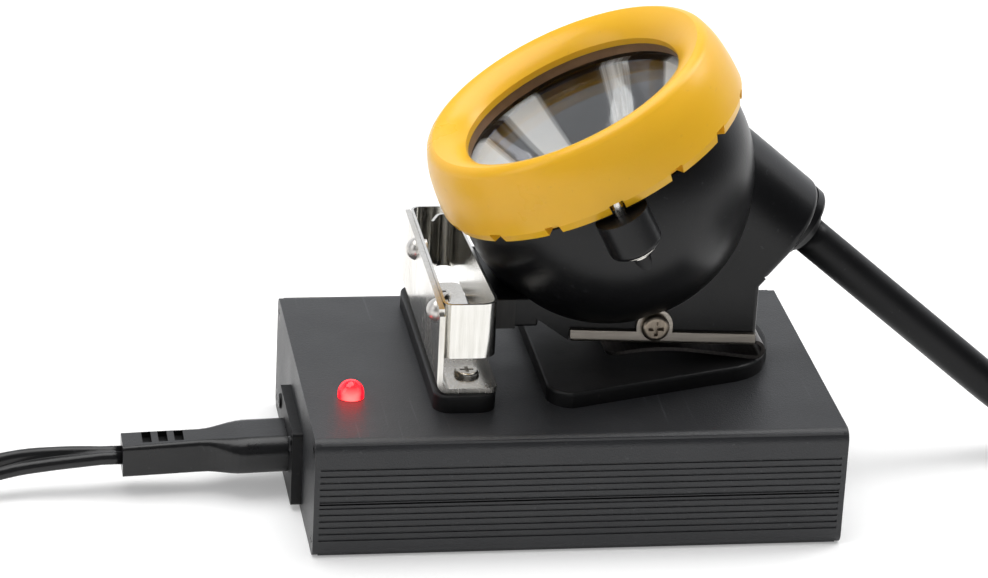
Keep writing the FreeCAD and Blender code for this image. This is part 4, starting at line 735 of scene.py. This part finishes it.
metals = {
    "nickelSteel": {
        "color": (0.74, 0.72, 0.68, 1), "lineColor": (0.62, 0.60, 0.56, 1), "stretch": (1.0, 1.0, 0.06),
        "fineness": 1600.0, "scratches": 0.5, "stainSize": 70.0, "stainAmount": 0.35,
        "stainColor": (0.55, 0.50, 0.42, 1), "scratchColor": (0.35, 0.34, 0.32, 1),
        "rough": (0.14, 0.26), "lineHeight": 0.00003,
    },
    "satinSteel": {
        "color": (0.78, 0.76, 0.73, 1), "lineColor": (0.66, 0.64, 0.61, 1), "stretch": (1.0, 1.0, 1.0),
        "fineness": 700.0, "scratches": 0.3, "stainSize": 200.0, "stainAmount": 0.3,
        "stainColor": (0.55, 0.51, 0.45, 1), "scratchColor": (0.40, 0.38, 0.36, 1),
        "rough": (0.32, 0.42), "lineHeight": 0.00002,
    },
    # painted shade: steel made dark for the hook spring, which lies in shade under the hook plate
    "paintedShadeSpring": {
        "color": (0.13, 0.12, 0.115, 1), "lineColor": (0.08, 0.075, 0.072, 1),
        "stretch": (1.0, 0.06, 1.0), "fineness": 1500.0, "scratches": 0.3, "stainSize": 90.0,
        "stainAmount": 0.3, "stainColor": (0.10, 0.085, 0.075, 1), "scratchColor": (0.20, 0.19, 0.18, 1),
        "rough": (0.28, 0.38), "lineHeight": 0.00003,
    },
    # painted shade: plated contact steel made near black, as the charging contact sits in shade
    "paintedShadeContact": {
        "color": (0.030, 0.029, 0.028, 1), "lineColor": (0.020, 0.020, 0.020, 1),
        "stretch": (1.0, 1.0, 0.06), "fineness": 900.0, "scratches": 0.2, "stainSize": 90.0,
        "stainAmount": 0.3, "stainColor": (0.026, 0.023, 0.020, 1),
        "scratchColor": (0.05, 0.05, 0.05, 1), "rough": (0.42, 0.52), "lineHeight": 0.00001,
        "metallic": 0.4,
    },
    "channelSteel": {
        "color": (0.46, 0.42, 0.37, 1), "lineColor": (0.36, 0.33, 0.29, 1), "stretch": (0.06, 1.0, 1.0),
        "fineness": 1500.0, "scratches": 0.4, "stainSize": 80.0, "stainAmount": 0.3,
        "stainColor": (0.34, 0.30, 0.25, 1), "scratchColor": (0.28, 0.26, 0.24, 1),
        "rough": (0.30, 0.42), "lineHeight": 0.00003,
    },
    "bronzeScrew": {
        "color": (0.34, 0.29, 0.23, 1), "lineColor": (0.25, 0.21, 0.17, 1), "stretch": (1.0, 1.0, 0.1),
        "fineness": 1500.0, "scratches": 0.4, "stainSize": 160.0, "stainAmount": 0.4,
        "stainColor": (0.20, 0.17, 0.13, 1), "scratchColor": (0.22, 0.20, 0.17, 1),
        "rough": (0.26, 0.38), "lineHeight": 0.00003,
    },
    "bandSteel": {
        "color": (0.80, 0.79, 0.76, 1), "lineColor": (0.68, 0.67, 0.63, 1), "stretch": (1.0, 1.0, 0.05),
        "fineness": 1400.0, "scratches": 0.4, "stainSize": 60.0, "stainAmount": 0.3,
        "stainColor": (0.60, 0.56, 0.48, 1), "scratchColor": (0.40, 0.38, 0.35, 1),
        "rough": (0.10, 0.20), "lineHeight": 0.00003,
    },
    "bareAluminium": {
        "color": (0.72, 0.73, 0.75, 1), "lineColor": (0.62, 0.63, 0.65, 1), "stretch": (0.1, 1.0, 1.0),
        "fineness": 900.0, "scratches": 0.4, "stainSize": 80.0, "stainAmount": 0.3,
        "stainColor": (0.5, 0.5, 0.52, 1), "scratchColor": (0.45, 0.45, 0.45, 1), "rough": (0.28, 0.4),
        "lineHeight": 0.00003,
    },
    "coreSteel": {
        "color": (0.30, 0.30, 0.31, 1), "lineColor": (0.16, 0.16, 0.17, 1), "stretch": (0.02, 1.0, 0.02),
        "fineness": 2200.0, "scratches": 0.3, "stainSize": 90.0, "stainAmount": 0.5,
        "stainColor": (0.25, 0.18, 0.12, 1), "scratchColor": (0.4, 0.4, 0.4, 1), "rough": (0.35, 0.5),
        "lineHeight": 0.0001,
    },
    "windingCopper": {
        "color": (0.70, 0.30, 0.12, 1), "lineColor": (0.36, 0.13, 0.05, 1), "stretch": (0.03, 0.03, 1.0),
        "fineness": 1800.0, "scratches": 0.1, "stainSize": 90.0, "stainAmount": 0.3,
        "stainColor": (0.4, 0.18, 0.08, 1), "scratchColor": (0.8, 0.45, 0.25, 1), "rough": (0.22, 0.4),
        "lineHeight": 0.0002,
    },
    "contactBrass": {
        "color": (0.80, 0.62, 0.30, 1), "lineColor": (0.70, 0.52, 0.24, 1), "stretch": (1.0, 0.06, 1.0),
        "fineness": 1500.0, "scratches": 0.5, "stainSize": 100.0, "stainAmount": 0.3,
        "stainColor": (0.5, 0.34, 0.15, 1), "scratchColor": (0.45, 0.35, 0.18, 1), "rough": (0.16, 0.3),
        "lineHeight": 0.00003,
    },
}

materials = {name: plasticMaterial(name, values) for name, values in finishes.items()}
materials.update({name: metalMaterial(name, values) for name, values in metals.items()})


# painted reflection: the bright and dark wedges around the bulb stand in for what the bowl mirrors
spunMirror = {
    "middle": (0.00126, 0.006, 0.08595), "tilt": 27.05, "paintedReflectionWedges": [(7.0, 0.26, 0.30), (2.0, -4.19, 0.24)],
    "paintedReflectionEdges": (0.40, 0.60), "rays": (16.0, 4.0, 0.6), "rayShare": 0.35, "rayHeight": 0.000002,
    "rings": (900.0, 3.0, 0.5), "dark": (0.055, 0.054, 0.058, 1), "bright": (1.0, 0.99, 0.98, 1),
    "roughEdges": (0.6, 1.4), "rough": (0.05, 0.10), "paintedBrightMetallic": 0.0,
}


def spunMirrorMaterial(v):
    # bright plating on a spun bowl with painted reflection: broad bright and dark wedges around the bulb,
    # the bright ones turning from metal to white; fine tool marks run out from the bulb, with rings across
    # them
    material, g, shader, place = startMaterial("spunMirror")
    turned = g.node("ShaderNodeMapping", vector_type="TEXTURE")
    turned.inputs["Location"].default_value = v["middle"]
    turned.inputs["Rotation"].default_value = (0, -math.radians(v["tilt"]), 0)
    g.link(place, turned.inputs["Vector"])
    apart = g.apart(turned.outputs[0])
    angle = g.math("ARCTAN2", apart["Y"], apart["X"])
    # painted reflection: waves around the bulb's axis make bright and dark wedges in the colour
    paintedReflectionWedges = 0.5
    for turns, offset, share in v["paintedReflectionWedges"]:
        wave = g.math("SINE", g.math("ADD", g.math("MULTIPLY", angle, turns), offset))
        paintedReflectionWedges = g.math("ADD", g.math("MULTIPLY", wave, share), paintedReflectionWedges)
    around = g.node("ShaderNodeCombineXYZ")
    g.link(g.math("COSINE", angle), around.inputs["X"])
    g.link(g.math("SINE", angle), around.inputs["Y"])
    fine = g.noise(around.outputs[0], *v["rays"])
    rings = g.noise(turned.outputs[0], *v["rings"])
    rays = g.math("MULTIPLY", g.math("SUBTRACT", fine, 0.5), v["rayShare"])
    paintedReflectionMask = g.ramp(g.math("ADD", paintedReflectionWedges, rays), *v["paintedReflectionEdges"])
    rough = g.ramp(g.math("ADD", fine, rings), *v["roughEdges"], *v["rough"])
    # the painted reflection sets both colour and metal
    g.link(g.mix(paintedReflectionMask, v["dark"], v["bright"]), shader.inputs["Base Color"])
    g.link(rough, shader.inputs["Roughness"])
    g.link(g.ramp(paintedReflectionMask, 0.0, 1.0, 1.0, v["paintedBrightMetallic"]), shader.inputs["Metallic"])
    addBump(g, shader, fine, v["rayHeight"])
    return material


clearLens = {
    "markStretch": (0.3, 1.0, 1.0), "markSize": 300.0, "scratches": 0.2, "clean": (0.97, 0.98, 0.98, 1),
    "wiped": (0.94, 0.96, 0.96, 1), "rough": (0.01, 0.04), "ior": 1.22, "specular": 0.15,
}


def lensMaterial(v):
    # clear, with a faint haze of wiping marks
    material, g, shader, place = startMaterial("clearLens")
    marks = useGroup(
        g, streakGroup, place, stretch=v["markStretch"], fineness=v["markSize"], scratches=v["scratches"],
    )
    g.link(g.mix(marks["Mask"], v["clean"], v["wiped"]), shader.inputs["Base Color"])
    g.link(g.ramp(marks["Mask"], 0.0, 1.0, *v["rough"]), shader.inputs["Roughness"])
    shader.inputs["Transmission Weight"].default_value = 1.0
    shader.inputs["IOR"].default_value = v["ior"]
    shader.inputs["Specular IOR Level"].default_value = v["specular"]
    return material


litRed = {
    "rimBlend": 0.45, "footHeights": (0.0300, 0.0278), "clouds": (500.0, 3.0), "cloudShare": 0.15,
    "heartEdge": 0.35, "inside": (1.0, 0.006, 0.010, 1), "foot": (1.0, 0.075, 0.07, 1),
    "rim": (1.0, 0.002, 0.008, 1), "strength": 4.6, "shell": (0.8, 0.02, 0.02, 1),
    "shellCloud": (0.6, 0.01, 0.01, 1), "rough": (0.08, 0.2),
}


def signalMaterial(v):
    # lit red lamp: red inside, paler at its foot, deep red at its rim
    material, g, shader, place = startMaterial("litRed")
    facing = g.node("ShaderNodeLayerWeight")
    facing.inputs["Blend"].default_value = v["rimBlend"]
    foot = g.ramp(g.apart(place)["Z"], *v["footHeights"])
    cloud = g.noise(place, *v["clouds"])
    heart = g.math("SUBTRACT", facing.outputs["Facing"], g.math("MULTIPLY", cloud, v["cloudShare"]))
    inner = g.mix(foot, v["inside"], v["foot"])
    g.link(g.mix(g.ramp(heart, 0.0, v["heartEdge"]), inner, v["rim"]), shader.inputs["Emission Color"])
    shader.inputs["Emission Strength"].default_value = v["strength"]
    g.link(g.mix(cloud, v["shell"], v["shellCloud"]), shader.inputs["Base Color"])
    g.link(g.ramp(cloud, 0.0, 1.0, *v["rough"]), shader.inputs["Roughness"])
    return material


materials["spunMirror"] = spunMirrorMaterial(spunMirror)
materials["clearLens"] = lensMaterial(clearLens)
materials["litRed"] = signalMaterial(litRed)

dressing = {
    "caseSkin": ["case_lower", "case_upper", "end_plate_left", "end_plate_right"],
    "blackScrew": ["end_plate_screws", "inlet_screws"],
    "blackPlastic": [
        "mains_inlet", "contact_pad", "rest_plate", "battery_plug", "battery_plug_nut", "mains_plug",
    ],
    "lampBodySkin": ["headpiece_body", "switch_knob", "cable_gland"],
    "yellowSkin": ["bezel"],
    "clearLens": ["lens"],
    "gasketRubber": ["lens_gasket", "shaft_seal"],
    "spunMirror": ["reflector"],
    "ledDome": ["main_led"],
    "boardSkin": ["charger_board", "led_board", "driver_board"],
    "bareAluminium": ["heat_sink"],
    "coreSteel": ["transformer_core"],
    "windingCopper": ["transformer_winding"],
    "capacitorSleeve": ["capacitors"],
    "nickelSteel": [
        "contact_bracket", "bracket_screws", "rest_plate_screws", "lock_screw_nut", "bezel_lock_screw",
        "switch_shaft",
    ],
    "satinSteel": ["bracket_rivets"],
    # painted shade: the hook spring gets steel darkened for its shade
    "paintedShadeSpring": ["hook_spring"],
    # painted shade: the charging contact gets near-black steel for its shade
    "paintedShadeContact": ["charging_contact"],
    "channelSteel": ["hook_plate"],
    "bronzeScrew": ["hook_screws"],
    "bandSteel": ["spring_band"],
    "contactBrass": ["inlet_pins", "battery_plug_pins", "mains_plug_blades"],
    "switchCase": ["switch_unit"],
    "cableSkin": ["cable_inner_end"],
    "leadSkin": ["mains_connector"],
    "strapWeave": ["lamp_cable_tie", "mains_lead_tie"],
    "litRed": ["indicator_led"],
}


def dress(piece, materialName):
    piece.data.materials.clear()
    piece.data.materials.append(materials[materialName])


for materialName, nodeNames in dressing.items():
    for nodeName in nodeNames:
        dress(nodes[nodeName], materialName)
dress(lampCable, "cableSkin")
dress(mainsLead, "leadSkin")
print("stage: materials given to", sum(len(v) for v in dressing.values()), "nodes")
